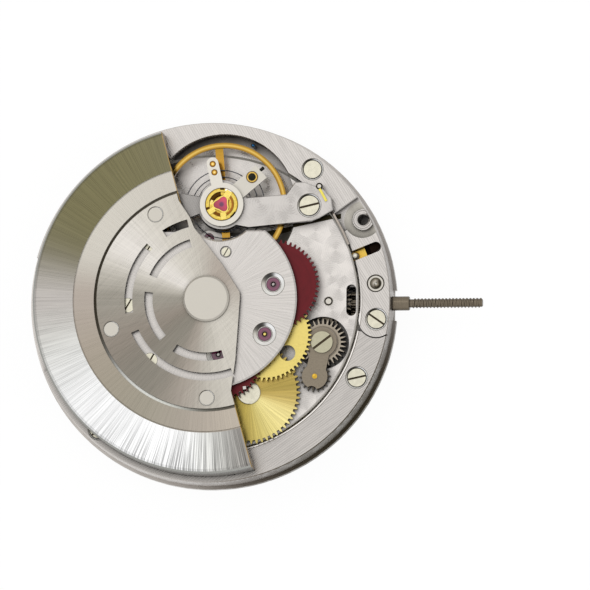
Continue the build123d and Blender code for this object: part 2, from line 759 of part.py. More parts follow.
def make_train_bridge():
    with BuildPart() as train_bridge:
        post(hand_axis, bridge_seat_height, train_top, train_bridge_radius)
        bevel_top(train_bridge, edge_bevel)
        above = train_top + overrun
        post(balance_centre, bridge_seat_height, above, balance_well_radius + bridge_well_gap, Mode.SUBTRACT)
        slab(scaled(balance_foot_shares, train_bridge_radius), bridge_seat_height, above, mode=Mode.SUBTRACT)
        foot_angle = heading(hand_axis, balance_screw)
        sector(
            train_bridge_radius / 2, train_bridge_radius + overrun, foot_angle, foot_angle + 90,
            bridge_seat_height, above, Mode.SUBTRACT,
        )
        inner_foot = (balance_screw[0] - balance_foot_radius, balance_screw[1])
        bar(
            inner_foot, balance_screw, 2 * (balance_foot_radius + ring_gap),
            bridge_seat_height, above, Mode.SUBTRACT,
        )
        post(crown_centre, bridge_seat_height, above, crown_tip_radius + pocket_gap, Mode.SUBTRACT)
        with BuildSketch(level(bridge_seat_height, window_place)) as window:
            SlotOverall(window_length, window_width, rotation=90)
        extrude(window.sketch, amount=above, mode=Mode.SUBTRACT)
        post(barrel_centre, bridge_seat_height, above, arbor_radius + pivot_gap, Mode.SUBTRACT)
        for centre in (great_centre, third_centre, hand_axis, first_reverser, relay_centre):
            post(centre, bridge_seat_height, above, train_jewel_radius + fit_gap, Mode.SUBTRACT)
        for place in train_screws:
            post(place, train_top - head_height - seat_gap, above, bridge_screw_head + head_gap, Mode.SUBTRACT)
            post(place, bridge_seat_height, above, bridge_screw_shank + seat_gap, Mode.SUBTRACT)
        for place in auto_screws:
            post(place, bridge_seat_height, above, auto_screw_shank + seat_gap, Mode.SUBTRACT)
        post(transfer_centre, bridge_seat_height, above, transfer_stud_radius + fit_gap, Mode.SUBTRACT)
        for place in (idler_centre_rest, click_pivot):
            post(place, bridge_seat_height, above, pin_radius + fit_gap, Mode.SUBTRACT)
    return train_bridge.part


def make_upper_ring():
    with BuildPart() as upper_ring:
        sector(ring_inner, plate_radius, upper_ring_start, upper_ring_end, ring_seat_height, ring_top)
        above = ring_top + overrun
        post(balance_centre, ring_seat_height, above, balance_well_radius, Mode.SUBTRACT)
        post(clamp_hole, ring_seat_height, above, clamp_recess_radius, Mode.SUBTRACT)
        bevel_top(upper_ring, edge_bevel / 2)
        post(ring_cap_place, ring_top - head_height, above, ring_cap_radius + head_gap, Mode.SUBTRACT)
        seat_bevel(ring_cap_place, ring_top, ring_cap_radius + head_gap)
        ring_screw_holes(ring_screws[2:3], above)
    return upper_ring.part


def ring_screw_holes(places, above):
    """Counterbored screw holes through a ring."""
    for place in places:
        post(place, ring_top - head_height - seat_gap, above, bridge_screw_head + head_gap, Mode.SUBTRACT)
        post(place, ring_seat_height, above, bridge_screw_shank + seat_gap, Mode.SUBTRACT)
        seat_bevel(place, ring_top, bridge_screw_head + head_gap)


def make_lower_ring():
    with BuildPart() as lower_ring:
        sector(ring_inner, plate_radius, lower_ring_start, lower_ring_end, ring_seat_height, ring_top)
        bevel_top(lower_ring, edge_bevel / 2)
        above = ring_top + overrun
        post(ring_screws[3], ring_seat_height, above, cover_plate_edge_radius + ring_gap, Mode.SUBTRACT)
        ring_screw_holes(ring_screws[:2], above)
    return lower_ring.part


def make_stem_cover_plate():
    with BuildPart() as stem_cover_plate:
        sector(ring_inner, plate_radius, cover_plate_start, cover_plate_end, ring_seat_height, ring_top)
        bevel_top(stem_cover_plate, edge_bevel / 2)
        above = ring_top + overrun
        post(ring_screws[3], ring_seat_height, ring_top, cover_plate_edge_radius)
        with BuildSketch(level(ring_seat_height)) as outside:
            Circle(plate_radius + 2 * overrun)
            Circle(plate_radius, mode=Mode.SUBTRACT)
        extrude(outside.sketch, amount=above, mode=Mode.SUBTRACT)
        with BuildSketch(level(ring_seat_height)) as inside:
            Circle(ring_inner)
        extrude(inside.sketch, amount=above, mode=Mode.SUBTRACT)
        post(clamp_hole, ring_seat_height, above, clamp_recess_radius, Mode.SUBTRACT)
        bar(stop_pivot, stop_slot_end, stop_slot_width, ring_seat_height, above, Mode.SUBTRACT)
        post(setting_lever_pivot, ring_seat_height, above, release_radius + head_gap, Mode.SUBTRACT)
        ring_screw_holes(ring_screws[3:], above)
    return stem_cover_plate.part


def make_pallet_bridge():
    with BuildPart() as pallet_bridge:
        left, right = pallet_bridge_feet
        bar(left, escape_centre, 2 * pallet_foot_radius, pallet_bridge_bottom, pallet_bridge_top)
        bar(escape_centre, pallet_centre, 2 * pallet_foot_radius, pallet_bridge_bottom, pallet_bridge_top)
        bar(pallet_centre, right, 2 * pallet_foot_radius, pallet_bridge_bottom, pallet_bridge_top)
        for place in (escape_centre, pallet_centre):
            post(place, pallet_bridge_bottom, pallet_bridge_top, small_jewel_radius + fit_gap, Mode.SUBTRACT)
        for place in pallet_bridge_feet:
            post(place, pallet_bridge_bottom, pallet_bridge_top, pin_radius + seat_gap, Mode.SUBTRACT)
    return pallet_bridge.part


def make_balance_bridge():
    with BuildPart() as balance_bridge:
        low, high = balance_bridge_bottom, balance_bridge_top
        post(balance_centre, low, high, balance_ring_radius)
        slab(scaled(left_arm_shares, train_bridge_radius), low, high)
        slab(scaled(right_arm_shares, train_bridge_radius), low, high)
        bevel_top(balance_bridge, edge_bevel / 2)
        post(balance_screw, bridge_seat_height, low, balance_foot_radius)
        bar(
            balance_foot_ends[0], balance_foot_ends[1], balance_foot_width, bridge_seat_height, low,
        )
        above = high + overrun
        post(balance_centre, low, above, shock_plug_radius + fit_gap, Mode.SUBTRACT)
        for place in (balance_screw, balance_left_screw):
            post(place, high - head_height - seat_gap, above, balance_screw_head + head_gap, Mode.SUBTRACT)
            seat_bevel(place, high, balance_screw_head + head_gap)
            post(place, bridge_seat_height, above, bridge_screw_shank + seat_gap, Mode.SUBTRACT)
        post(balance_pin_place, bridge_seat_height, above, pin_radius + fit_gap, Mode.SUBTRACT)
    return balance_bridge.part


def make_auto_bridge():
    with BuildPart() as auto_bridge:
        low, high = auto_bridge_bottom, auto_bridge_top
        above = high + overrun
        post(hand_axis, low, high, auto_bridge_radius)
        post(balance_centre, low, above, auto_balance_radius, Mode.SUBTRACT)
        with Locations((0, auto_bridge_top_edge, low)):
            Box(
                2 * auto_bridge_radius, auto_bridge_radius, above,
                align=(Align.CENTER, Align.MIN, Align.MIN), mode=Mode.SUBTRACT,
            )
        bevel_top(auto_bridge, edge_bevel)
        for place in auto_screws:
            post(place, train_top, low, pillar_radius)
            post(place, train_top, above, auto_screw_shank + seat_gap, Mode.SUBTRACT)
            post(place, high - head_height - seat_gap, above, auto_screw_head + head_gap / 2, Mode.SUBTRACT)
        post(hand_axis, low, above, rotor_axle_radius + pivot_gap, Mode.SUBTRACT)
        for place in (first_reverser, second_reverser, relay_centre):
            post(place, low, above, train_jewel_radius + fit_gap, Mode.SUBTRACT)
            sink = train_jewel_radius + jewel_sink_gap
            dish(place, high - jewel_sink_depth, high, sink, jewel_sink_radius)
        post(auto_small_screw, high - head_height - seat_gap, above, small_screw_radius + small_screw_gap, Mode.SUBTRACT)
    return auto_bridge.part


def make_auto_lower_plate():
    with BuildPart() as auto_lower_plate:
        low, high = lower_plate_bottom, lower_plate_top
        bar(second_reverser, auto_screws[2], 2 * lower_plate_arm, low, high)
        bar(auto_screws[1], auto_screws[2], 2 * lower_plate_arm, low, high)
        for place in auto_screws[1:]:
            post(place, train_top, high, pillar_radius + lower_plate_wall)
            post(place, train_top, high, pillar_radius + seat_gap, Mode.SUBTRACT)
        post(second_reverser, low, high, pivot_radius + pivot_gap, Mode.SUBTRACT)
    return auto_lower_plate.part


# Wheels
wheel_hole_share = 0.26
wheel_hole_circle_share = 0.58
relay_hole_radius = 0.62
relay_hole_circle = 2.20
relay_hole_turn = -39.5
reversing_arbor_radius = 0.20
ratchet_boss_radius = 0.90
ratchet_boss_height = 0.11
pinion_rise = 0.10


def arbor(at, bottom, top, radius=arbor_body_radius):
    """A wheel's arbor with a pivot at each end, added to the part in hand."""
    post(at, bottom, top, radius)
    post(at, bottom - pivot_length + running_gap, bottom, pivot_radius)
    post(at, top, top + pivot_length - running_gap, pivot_radius)


def lighten(at, bottom, top, radius):
    """Four round holes in a wheel."""
    holes(at, bottom, top, radius * wheel_hole_circle_share, radius * wheel_hole_share, 4, 45)


def make_barrel_drum():
    with BuildPart() as barrel_drum:
        gear(barrel_centre, barrel_bottom, barrel_bottom + barrel_rim_thickness, barrel_module, barrel_teeth)
        post(barrel_centre, barrel_bottom, barrel_top, drum_radius)
        post(
            barrel_centre, barrel_bottom + barrel_floor_thickness, barrel_top + overrun,
            drum_radius - barrel_wall, Mode.SUBTRACT,
        )
        post(barrel_centre, barrel_bottom - overrun, barrel_top, arbor_radius + pivot_gap, Mode.SUBTRACT)
        # The lid is a piece of its own, snapped into the drum
        collar(
            barrel_centre, barrel_top - barrel_lid_thickness, barrel_top,
            drum_radius - barrel_wall - fit_gap, arbor_radius + pivot_gap,
        )
    return barrel_drum.part


def make_barrel_arbor():
    cavity_bottom = barrel_bottom + barrel_floor_thickness
    cavity_top = barrel_top - barrel_lid_thickness
    with BuildPart() as barrel_arbor:
        post(barrel_centre, barrel_floor - pivot_length + running_gap, barrel_bottom, barrel_pivot_radius)
        post(barrel_centre, barrel_floor + running_gap, train_top, arbor_radius)
        post(barrel_centre, cavity_bottom + running_gap, cavity_top - running_gap, arbor_core_radius)
        with BuildSketch(level(train_top, barrel_centre)) as square:
            Rectangle(arbor_square_side, arbor_square_side, rotation=ratchet_angle)
        extrude(square.sketch, amount=ratchet_top - train_top)
        post(
            barrel_centre, train_top - head_height, ratchet_top + overrun,
            auto_screw_shank + seat_gap, Mode.SUBTRACT,
        )
    return barrel_arbor.part


def make_mainspring():
    bottom = barrel_bottom + barrel_floor_thickness + axial_gap
    top = barrel_top - barrel_lid_thickness - axial_gap
    inner = arbor_core_radius + axial_gap
    outer = inner + mainspring_thickness
    run = mainspring_turns * mainspring_pitch
    with BuildPart() as mainspring:
        with BuildSketch(level(bottom, barrel_centre)) as band:
            with BuildLine():
                spiral_arcs(inner, mainspring_pitch, mainspring_turns)
                spiral_arcs(outer, mainspring_pitch, mainspring_turns)
                Line((inner, 0), (outer, 0))
                Line((inner + run, 0), (outer + run, 0))
            make_face()
        extrude(band.sketch, amount=top - bottom)
    return mainspring.part


def spiral_arcs(inner, pitch, turns):
    """Half-turn arcs of a flat spiral about the origin of the sketch in hand."""
    start = inner
    for half in range(2 * turns):
        side = 1 if half % 2 == 0 else -1
        end = start + pitch / 2
        ThreePointArc((side * start, 0), (side * (start - end) / 2, side * (start + end) / 2), (-side * end, 0))
        start = end


def make_ratchet_wheel():
    with BuildPart() as ratchet_wheel:
        gear(barrel_centre, ratchet_bottom, ratchet_top, ratchet_module, ratchet_teeth, ratchet_turn)
        with BuildSketch(level(ratchet_bottom, barrel_centre)) as square:
            side = arbor_square_side + 2 * seat_gap
            Rectangle(side, side, rotation=ratchet_angle)
        extrude(square.sketch, amount=ratchet_thickness, mode=Mode.SUBTRACT)
    return ratchet_wheel.part


def make_ratchet_screw():
    with BuildPart() as ratchet_screw:
        post(barrel_centre, ratchet_top, ratchet_top + ratchet_boss_height, ratchet_boss_radius)
        post(barrel_centre, train_top - head_height + seat_gap, ratchet_top, auto_screw_shank)
        bevel_top(ratchet_screw, ratchet_boss_height / 3)
    return ratchet_screw.part


def make_great_wheel():
    with BuildPart() as great_wheel:
        gear(great_centre, great_wheel_bottom, great_wheel_top, great_module, great_teeth)
        lighten(great_centre, great_wheel_bottom, great_wheel_top, great_tip_radius)
        gear(
            great_centre, barrel_bottom, barrel_bottom + barrel_rim_thickness,
            barrel_module, great_pinion_teeth, great_pinion_turn,
        )
        arbor(great_centre, barrel_bottom, bridge_seat_height - running_gap)
    return great_wheel.part


def make_third_wheel():
    with BuildPart() as third_wheel:
        gear(third_centre, third_wheel_bottom, third_wheel_top, third_module, third_teeth)
        lighten(third_centre, third_wheel_bottom, third_wheel_top, third_tip_radius)
        gear(
            third_centre, third_wheel_top, great_wheel_top + running_gap,
            great_module, third_pinion_teeth, third_pinion_turn,
        )
        arbor(third_centre, third_wheel_bottom - running_gap, bridge_seat_height - running_gap)
    return third_wheel.part


def make_seconds_wheel():
    with BuildPart() as seconds_wheel:
        gear(hand_axis, seconds_wheel_bottom, seconds_wheel_top, seconds_module, seconds_teeth)
        gear(
            hand_axis, third_wheel_bottom - axial_gap, third_wheel_top + running_gap,
            third_module, seconds_pinion_teeth, seconds_pinion_turn,
        )
        body_bottom = motion_pocket_depth + running_gap
        body_top = bridge_seat_height - running_gap
        seat_top = -cannon_reach - seat_gap
        post(hand_axis, body_bottom, body_top, seconds_body_radius)
        post(hand_axis, -seconds_reach, seat_top, seconds_pin_radius)
        # Slightly tapered between the hand's seat and the body, and at the upper pivot
        with Locations((0, 0, seat_top)):
            Cone(
                seconds_pin_radius, seconds_pin_radius + seat_gap / 2, body_bottom - seat_top,
                align=(Align.CENTER, Align.CENTER, Align.MIN),
            )
        with Locations((0, 0, body_top)):
            Cone(
                pivot_radius + seat_gap / 2, pivot_radius - seat_gap / 2, pivot_length + running_gap,
                align=(Align.CENTER, Align.CENTER, Align.MIN),
            )
    return seconds_wheel.part


def make_escape_wheel():
    with BuildPart() as escape_wheel:
        with BuildSketch(level(escape_bottom, escape_centre)) as outline:
            with BuildLine():
                corners = []
                for tooth in range(escape_teeth):
                    for reach_share, turn_share in escape_tooth_shares:
                        turn = escape_turn + (tooth + turn_share) * 360 / escape_teeth
                        corners.append(polar((0, 0), escape_radius * reach_share, turn))
                Polyline(*corners, close=True)
            make_face()
        extrude(outline.sketch, amount=escape_thickness)
        lighten(escape_centre, escape_bottom, escape_top, escape_radius)
        gear(
            escape_centre, seconds_wheel_bottom - running_gap, seconds_wheel_top + running_gap,
            seconds_module, escape_pinion_teeth, escape_pinion_turn,
        )
        low = train_floor + running_gap
        post(escape_centre, low, escape_top + axial_gap, escape_arbor_radius)
        post(escape_centre, low - pivot_length + axial_gap, low, pivot_radius)
        post(escape_centre, escape_top + axial_gap, pallet_bridge_top - seat_gap, pivot_radius)
    return escape_wheel.part


# Escapement
escape_root_share = 0.82
escape_tooth_shares = ((escape_root_share, 0.0), (1.0, 0.42), (1.0, 0.54), (escape_root_share, 0.62))
escape_turn = 4.0
escape_arbor_radius = 0.16
stone_width = 0.20
stone_length = 0.42
stone_gap = 0.13
fork_width = 0.26
fork_reach = 1.94
pallet_top = escape_top + seat_gap


def make_pallet_fork():
    with BuildPart() as pallet_fork:
        for side in (-30, 30):
            tip = polar(escape_centre, escape_radius + stone_gap + stone_width / 2, pallet_line + side)
            back = polar(escape_centre, escape_radius + stone_gap + stone_length, pallet_line + side)
            bar(tip, back, stone_width, escape_bottom, pallet_top)
            bar(back, pallet_centre, fork_width, escape_bottom, pallet_top)
        bar(pallet_centre, polar(pallet_centre, fork_reach, lever_line), fork_width, escape_bottom, pallet_top)
        post(pallet_centre, train_floor + running_gap, pallet_bridge_bottom - running_gap, arbor_body_radius)
        low = train_floor + running_gap
        post(pallet_centre, low - pivot_length + axial_gap, low, pivot_radius)
        post(pallet_centre, pallet_bridge_bottom - running_gap, pallet_bridge_top - seat_gap, pivot_radius)
    return pallet_fork.part


# Balance
rim_inner = balance_radius - balance_rim_width
balance_arm_bottom = balance_bottom + axial_gap
balance_arm_thickness = 0.15
staff_bottom = train_floor + running_gap
staff_top = balance_bridge_bottom - seat_gap
roller_bottom = pallet_top + axial_gap / 2
hairspring_height = 3.42
collet_height = 0.12
hairspring_outer = hairspring_inner_radius + hairspring_turns * hairspring_pitch


def make_balance_wheel():
    with BuildPart() as balance_wheel:
        collar(balance_centre, balance_bottom, balance_bottom + balance_rim_height, balance_radius, rim_inner)
        arm_top = balance_arm_bottom + balance_arm_thickness
        for quarter in (0, 90):
            with BuildSketch(level(balance_arm_bottom, balance_centre)) as arm:
                Rectangle(
                    2 * rim_inner + balance_rim_width, balance_arm_width,
                    rotation=balance_arm_angle + quarter,
                )
            extrude(arm.sketch, amount=balance_arm_thickness)
        post(balance_centre, balance_arm_bottom, arm_top, balance_hub_radius)
        post(balance_centre, balance_bottom, arm_top, staff_radius + fit_gap, Mode.SUBTRACT)
    return balance_wheel.part


def make_balance_staff():
    with BuildPart() as balance_staff:
        post(balance_centre, staff_bottom, staff_top, staff_radius)
        post(balance_centre, staff_bottom - pivot_length + axial_gap, staff_bottom, staff_pivot_radius)
        post(balance_centre, staff_top, staff_top + pivot_length, staff_pivot_radius)
        post(balance_centre, roller_bottom, roller_bottom + roller_thickness, roller_radius)
        pin_place = polar(balance_centre, impulse_reach, lever_line + 180)
        post(pin_place, escape_bottom, roller_bottom, impulse_pin_radius)
        post(
            balance_centre, hairspring_height - collet_height / 2, hairspring_height + collet_height / 2,
            hairspring_inner_radius,
        )
    return balance_staff.part


def make_hairspring():
    start = hairspring_inner_radius + hairspring_wire / 2
    height = hairspring_height + collet_height / 2 + hairspring_wire / 2
    plane = Plane(origin=(balance_centre[0], balance_centre[1], hairspring_height), x_dir=polar((0, 0), 1, stud_arm_angle) + (0,))
    with BuildPart() as hairspring:
        with BuildLine(plane) as path:
            spiral_arcs(start, hairspring_pitch, hairspring_turns)
        with BuildSketch(Plane(origin=path.wires()[0] @ 0, z_dir=path.wires()[0] % 0)):
            Circle(hairspring_wire / 2)
        sweep(path=path.wires()[0])
    least = least_gap(path.wires()[0], hairspring_wire)
    print(f"hairspring least gap to itself {least:.3f} mm")
    return hairspring.part


def least_gap(path, wire):
    """Smallest clear gap between neighbouring turns, measured on points of the path."""
    samples = 720
    places = [path @ (number / samples) for number in range(samples + 1)]
    apart = samples // (2 * hairspring_turns)
    gaps = [
        hypot(places[i].X - places[j].X, places[i].Y - places[j].Y) - wire
        for i in range(samples + 1)
        for j in range(i + apart, samples + 1)
    ]
    return min(gaps)


# Stud carrier, regulator and shock setting
stud_ring_bottom = balance_bridge_top + seat_gap
stud_ring_top = stud_ring_bottom + regulator_thickness
regulator_bottom = stud_ring_top + seat_gap
regulator_top = regulator_bottom + regulator_thickness
shock_top = regulator_top + seat_gap
regulator_pin_reaches = (2.68, 3.31)
regulator_pin_radius = 0.20
stud_screw_reach = 3.24
stud_screw_radius = 0.30
stud_radius = 0.16
shock_dish_radius = 0.95
shock_dish_depth = 0.16
lyre_width = 0.22
lyre_thickness = 0.06
lyre_reach_share = 0.75


def make_regulator_arm():
    with BuildPart() as regulator_arm:
        collar(
            balance_centre, regulator_bottom, regulator_top,
            regulator_ring_radius, shock_radius + pivot_gap,
        )
        near = polar(balance_centre, regulator_ring_radius, regulator_arm_angle)
        far = polar(balance_centre, regulator_reach - regulator_arm_width / 2, regulator_arm_angle)
        bar(near, far, regulator_arm_width, regulator_bottom, regulator_top)
        post(balance_centre, regulator_bottom, regulator_top, shock_radius + pivot_gap, Mode.SUBTRACT)
        for reach in regulator_pin_reaches:
            place = polar(balance_centre, reach, regulator_arm_angle)
            post(place, regulator_bottom, regulator_top + seat_gap, regulator_pin_radius)
    return regulator_arm.part


def make_stud_carrier():
    with BuildPart() as stud_carrier:
        collar(
            balance_centre, stud_ring_bottom, stud_ring_top,
            regulator_ring_radius, shock_radius + pivot_gap,
        )
        with BuildSketch(level(stud_ring_bottom, polar(balance_centre, stud_reach / 2, stud_arm_angle))) as arm:
            Rectangle(stud_reach, stud_arm_width, rotation=stud_arm_angle)
        extrude(arm.sketch, amount=regulator_thickness)
        post(balance_centre, stud_ring_bottom, stud_ring_top, shock_radius + pivot_gap, Mode.SUBTRACT)
        stud_place = polar(balance_centre, hairspring_outer + hairspring_wire + stud_radius, stud_arm_angle)
        post(stud_place, hairspring_height - collet_height, stud_ring_bottom, stud_radius)
        hole_place = polar(balance_centre, stud_screw_reach, stud_arm_angle)
        post(hole_place, stud_ring_top - regulator_thickness / 2, stud_ring_top, stud_screw_radius, Mode.SUBTRACT)
    return stud_carrier.part


def make_shock_setting():
    with BuildPart() as shock_setting:
        low = staff_top + axial_gap
        post(balance_centre, low, balance_bridge_top, shock_plug_radius)
        post(balance_centre, balance_bridge_top, shock_top, shock_radius)
        bevel_top(shock_setting, seat_gap)
        post(balance_centre, shock_top - shock_dish_depth, shock_top, shock_dish_radius, Mode.SUBTRACT)
        post(
            balance_centre, low, balance_bridge_top,
            staff_pivot_radius + pivot_gap, Mode.SUBTRACT,
        )
        # The lyre spring lies loose in the dish
        low = shock_top - shock_dish_depth / 2 + seat_gap
        collar(
            balance_centre, low, low + lyre_thickness,
            shock_dish_radius - seat_gap, shock_dish_radius - seat_gap - lyre_width,
        )
        for number in range(3):
            angle = stud_arm_angle + number * 120
            inner = polar(balance_centre, cap_jewel_radius * lyre_reach_share, angle)
            outer = polar(balance_centre, shock_dish_radius - lyre_width, angle)
            bar(inner, outer, lyre_width, low, low + lyre_thickness)
    return shock_setting.part


# Automatic winding train
def make_reversing_wheel(centre, turn):
    with BuildPart() as wheel:
        gear(centre, reversing_bottom, reversing_top, auto_module, reversing_teeth, turn)
        post(centre, reversing_bottom, reversing_top, reversing_arbor_radius + pivot_gap, Mode.SUBTRACT)
    return wheel.part


def make_reversing_wheel_1():
    return make_reversing_wheel(first_reverser, first_reverser_turn)


def make_reversing_wheel_2():
    return make_reversing_wheel(second_reverser, second_reverser_turn)


def make_reversing_pinion(centre, turn, low):
    with BuildPart() as pinion:
        gear(
            centre, relay_bottom - pinion_rise / 5, relay_top + running_gap,
            relay_module, relay_driver_teeth, turn,
        )
        post(centre, low + running_gap, auto_bridge_bottom - running_gap, reversing_arbor_radius)
        post(centre, low - pivot_length + running_gap, low + running_gap, pivot_radius)
        post(centre, auto_bridge_bottom - running_gap, auto_bridge_bottom + pivot_length, pivot_radius)
    return pinion.part


def make_reversing_pinion_1():
    return make_reversing_pinion(first_reverser, first_driver_turn, train_top)


def make_reversing_pinion_2():
    return make_reversing_pinion(second_reverser, second_driver_turn, lower_plate_top)


def make_relay_wheel():
    with BuildPart() as relay_wheel:
        gear(relay_centre, relay_bottom, relay_top, relay_module, relay_teeth)
        holes(relay_centre, relay_bottom, relay_top, relay_hole_circle, relay_hole_radius, 4, relay_hole_turn)
        gear(
            relay_centre, ratchet_bottom - seat_gap, ratchet_top + seat_gap,
            ratchet_module, relay_pinion_teeth, relay_pinion_turn,
        )
        low = train_top + seat_gap
        post(relay_centre, low, auto_bridge_bottom - running_gap, reversing_arbor_radius + running_gap)
        post(relay_centre, low - pivot_length + running_gap, low, pivot_radius)
        post(relay_centre, auto_bridge_bottom - running_gap, auto_bridge_bottom + pivot_length, pivot_radius)
    return relay_wheel.part


def make_rotor_hub():
    with BuildPart() as rotor_hub:
        gear(hand_axis, reversing_bottom - pinion_rise / 2, reversing_top + seat_gap, auto_module, rotor_pinion_teeth)
        post(hand_axis, reversing_top, rotor_plate_bottom, rotor_axle_radius)
        post(hand_axis, auto_bridge_top + running_gap, rotor_plate_bottom, rotor_bearing_radius)
        post(hand_axis, rotor_plate_bottom, rotor_plate_top, rotor_axle_radius)
        post(hand_axis, rotor_plate_top, rotor_plate_top + rotor_cap_thickness, rotor_cap_radius)
        bevel_top(rotor_hub, rotor_cap_thickness / 2)
    return rotor_hub.part


rotor_hub_shares = (
    (-0.256, 0.884), (-0.155, 0.734), (-0.114, 0.637), (0.146, 0.299), (0.298, 0.061),
    (0.302, 0.014), (0.265, -0.551), (0.228, -0.83),
)
rotor_plate_radius = rotor_groove_radius - rotor_groove_width / 2


def half_disc(inner, outer, bottom, top, mode=Mode.ADD):
    """Half of a ring on the weight side of the rotor's straight edge."""
    sector(inner, outer, rotor_edge_angle, rotor_edge_angle + 180, bottom, top, mode)


def make_rotor_plate():
    with BuildPart() as rotor_plate:
        low, high = rotor_plate_bottom, rotor_plate_top
        post(hand_axis, low, high, rotor_plate_radius)
        bevel_top(rotor_plate, seat_gap)
        # The free side is cut back to the hub's outline
        with BuildSketch(level(low)) as free:
            Circle(2 * rotor_plate_radius)
            with BuildLine():
                start = polar(hand_axis, 3 * rotor_plate_radius, rotor_edge_angle)
                end = polar(hand_axis, 3 * rotor_plate_radius, rotor_edge_angle + 180)
                Polyline(
                    start, *scaled(rotor_hub_shares, rotor_groove_radius), end,
                    polar(end, 3 * rotor_plate_radius, rotor_edge_angle + 90),
                    polar(start, 3 * rotor_plate_radius, rotor_edge_angle + 90),
                    close=True,
                )
            make_face(mode=Mode.SUBTRACT)
        extrude(free.sketch, amount=rotor_plate_thickness, mode=Mode.SUBTRACT)
        for radii, places in ((outer_slot_radii, outer_slot_angles), (inner_slot_radii, inner_slot_angles)):
            for start, end in places:
                sector(radii[0], radii[1], start, end, low, high, Mode.SUBTRACT)
        post(hand_axis, low, high, rotor_axle_radius + fit_gap, Mode.SUBTRACT)
        for angle in rotor_rivet_angles:
            place = polar(hand_axis, rotor_rivet_circle, angle)
            post(place, low, high, rotor_rivet_radius + fit_gap, Mode.SUBTRACT)
    return rotor_plate.part


def make_rotor_weight():
    with BuildPart() as rotor_weight:
        low = rotor_plate_bottom - rotor_lip_thickness
        half_disc(rotor_lip_radius, rotor_radius, low, rotor_plate_bottom)
        half_disc(rotor_groove_radius + rotor_groove_width / 2, rotor_radius, low, rotor_weight_top)
        half_disc(rotor_rim_radius, rotor_radius, rotor_weight_top - rotor_rim_drop, rotor_weight_top)
        half_disc(rotor_skirt_radius, rotor_radius, rotor_weight_top - rotor_skirt_drop, rotor_weight_top)
        top = rotor_weight.faces().filter_by(Axis.Z).sort_by(Axis.Z)[-1]
        chamfer(top.edges().filter_by(GeomType.CIRCLE).sort_by(SortBy.RADIUS)[-1], rotor_bevel)
        half_disc(
            rotor_band_radius - rotor_groove_width / 2, rotor_band_radius,
            rotor_weight_top - rotor_step, rotor_weight_top, Mode.SUBTRACT,
        )
        for angle in rotor_rivet_angles:
            place = polar(hand_axis, rotor_rivet_circle, angle)
            post(place, low, rotor_plate_bottom, rotor_rivet_radius + fit_gap, Mode.SUBTRACT)
    return rotor_weight.part


def make_rotor_rivets():
    with BuildPart() as rotor_rivets:
        low = rotor_plate_bottom - rotor_lip_thickness
        for angle in rotor_rivet_angles:
            place = polar(hand_axis, rotor_rivet_circle, angle)
            post(place, low, rotor_plate_top + seat_gap, rotor_rivet_radius)
    return rotor_rivets.part


# Crown wheel group
yoke_round_radius = 1.15
yoke_lobe_radius = 1.00
yoke_neck_width = 1.50
yoke_hollow_radius = 0.45


def make_crown_wheel():
    with BuildPart() as crown_wheel:
        gear(
            crown_centre, transfer_bottom, crown_top, crown_module, crown_teeth,
            crown_turn, deep_tooth_shares,
        )
        post(crown_centre, transfer_bottom, crown_top, crown_bore_radius, Mode.SUBTRACT)
    return crown_wheel.part


def make_crown_yoke():
    with BuildPart() as crown_yoke:
        low = crown_top + seat_gap
        high = low + crown_yoke_thickness
        post(crown_centre, low, high, yoke_round_radius)
        bar(crown_centre, idler_centre, yoke_neck_width, low, high)
        post(idler_centre, low, high, yoke_lobe_radius)
        hollow = polar(idler_centre, yoke_lobe_radius + yoke_hollow_radius / 2, idler_angle)
        post(hollow, low, high, yoke_hollow_radius, Mode.SUBTRACT)
        post(crown_centre, low, high, crown_screw_shank + pivot_gap, Mode.SUBTRACT)
        post(idler_centre, idler_bottom + seat_gap, high + seat_gap, pin_radius)
    return crown_yoke.part


def make_idler_wheel():
    with BuildPart() as idler_wheel:
        gear(
            idler_centre, idler_bottom, crown_top - seat_gap, crown_module, idler_teeth,
            idler_turn, deep_tooth_shares,
        )
        post(idler_centre, idler_bottom, crown_top, pin_radius + pivot_gap, Mode.SUBTRACT)
    return idler_wheel.part


def make_transfer_wheel():
    with BuildPart() as transfer_wheel:
        gear(
            transfer_centre, transfer_bottom, transfer_bottom + transfer_thickness,
            crown_module, transfer_teeth, transfer_turn, deep_tooth_shares,
        )
        # Contrate teeth under the rim mesh with the winding pinion
        pitch_radius = crown_module * transfer_teeth / 2
        for tooth in range(transfer_teeth):
            turn = contrate_turn + tooth * 360 / transfer_teeth
            inner = polar(transfer_centre, contrate_inner_radius, turn)
            outer = polar(transfer_centre, transfer_root_radius, turn)
            bar(inner, outer, contrate_tooth_width, transfer_bottom - contrate_drop, transfer_bottom)
        post(
            transfer_centre, transfer_bottom, transfer_bottom + transfer_thickness,
            transfer_stud_radius + pivot_gap, Mode.SUBTRACT,
        )
    return transfer_wheel.part


contrate_turn = (0.5 / transfer_teeth) * 360
contrate_inner_radius = 1.42
contrate_tooth_width = 0.11
transfer_root_radius = crown_module * (transfer_teeth / 2 - deep_tooth_shares[1])


# Stem and keyless works
square_start = 8.75
groove_start = 12.30
groove_end = 12.80
pinion_groove_start = 9.95
pinion_groove_end = 10.25


def make_winding_stem():
    with BuildPart() as winding_stem:
        rod(stem_inner_end, square_start, stem_pilot_radius)
        square_rod(square_start, winding_pinion_inner, stem_square_side)
        rod(winding_pinion_inner, groove_start, stem_radius)
        rod(groove_start, groove_end, stem_neck_radius)
        rod(groove_end, stem_shoulder_end, stem_radius)
        rod(stem_shoulder_end, stem_tip, stem_thread_radius)
    return winding_stem.part


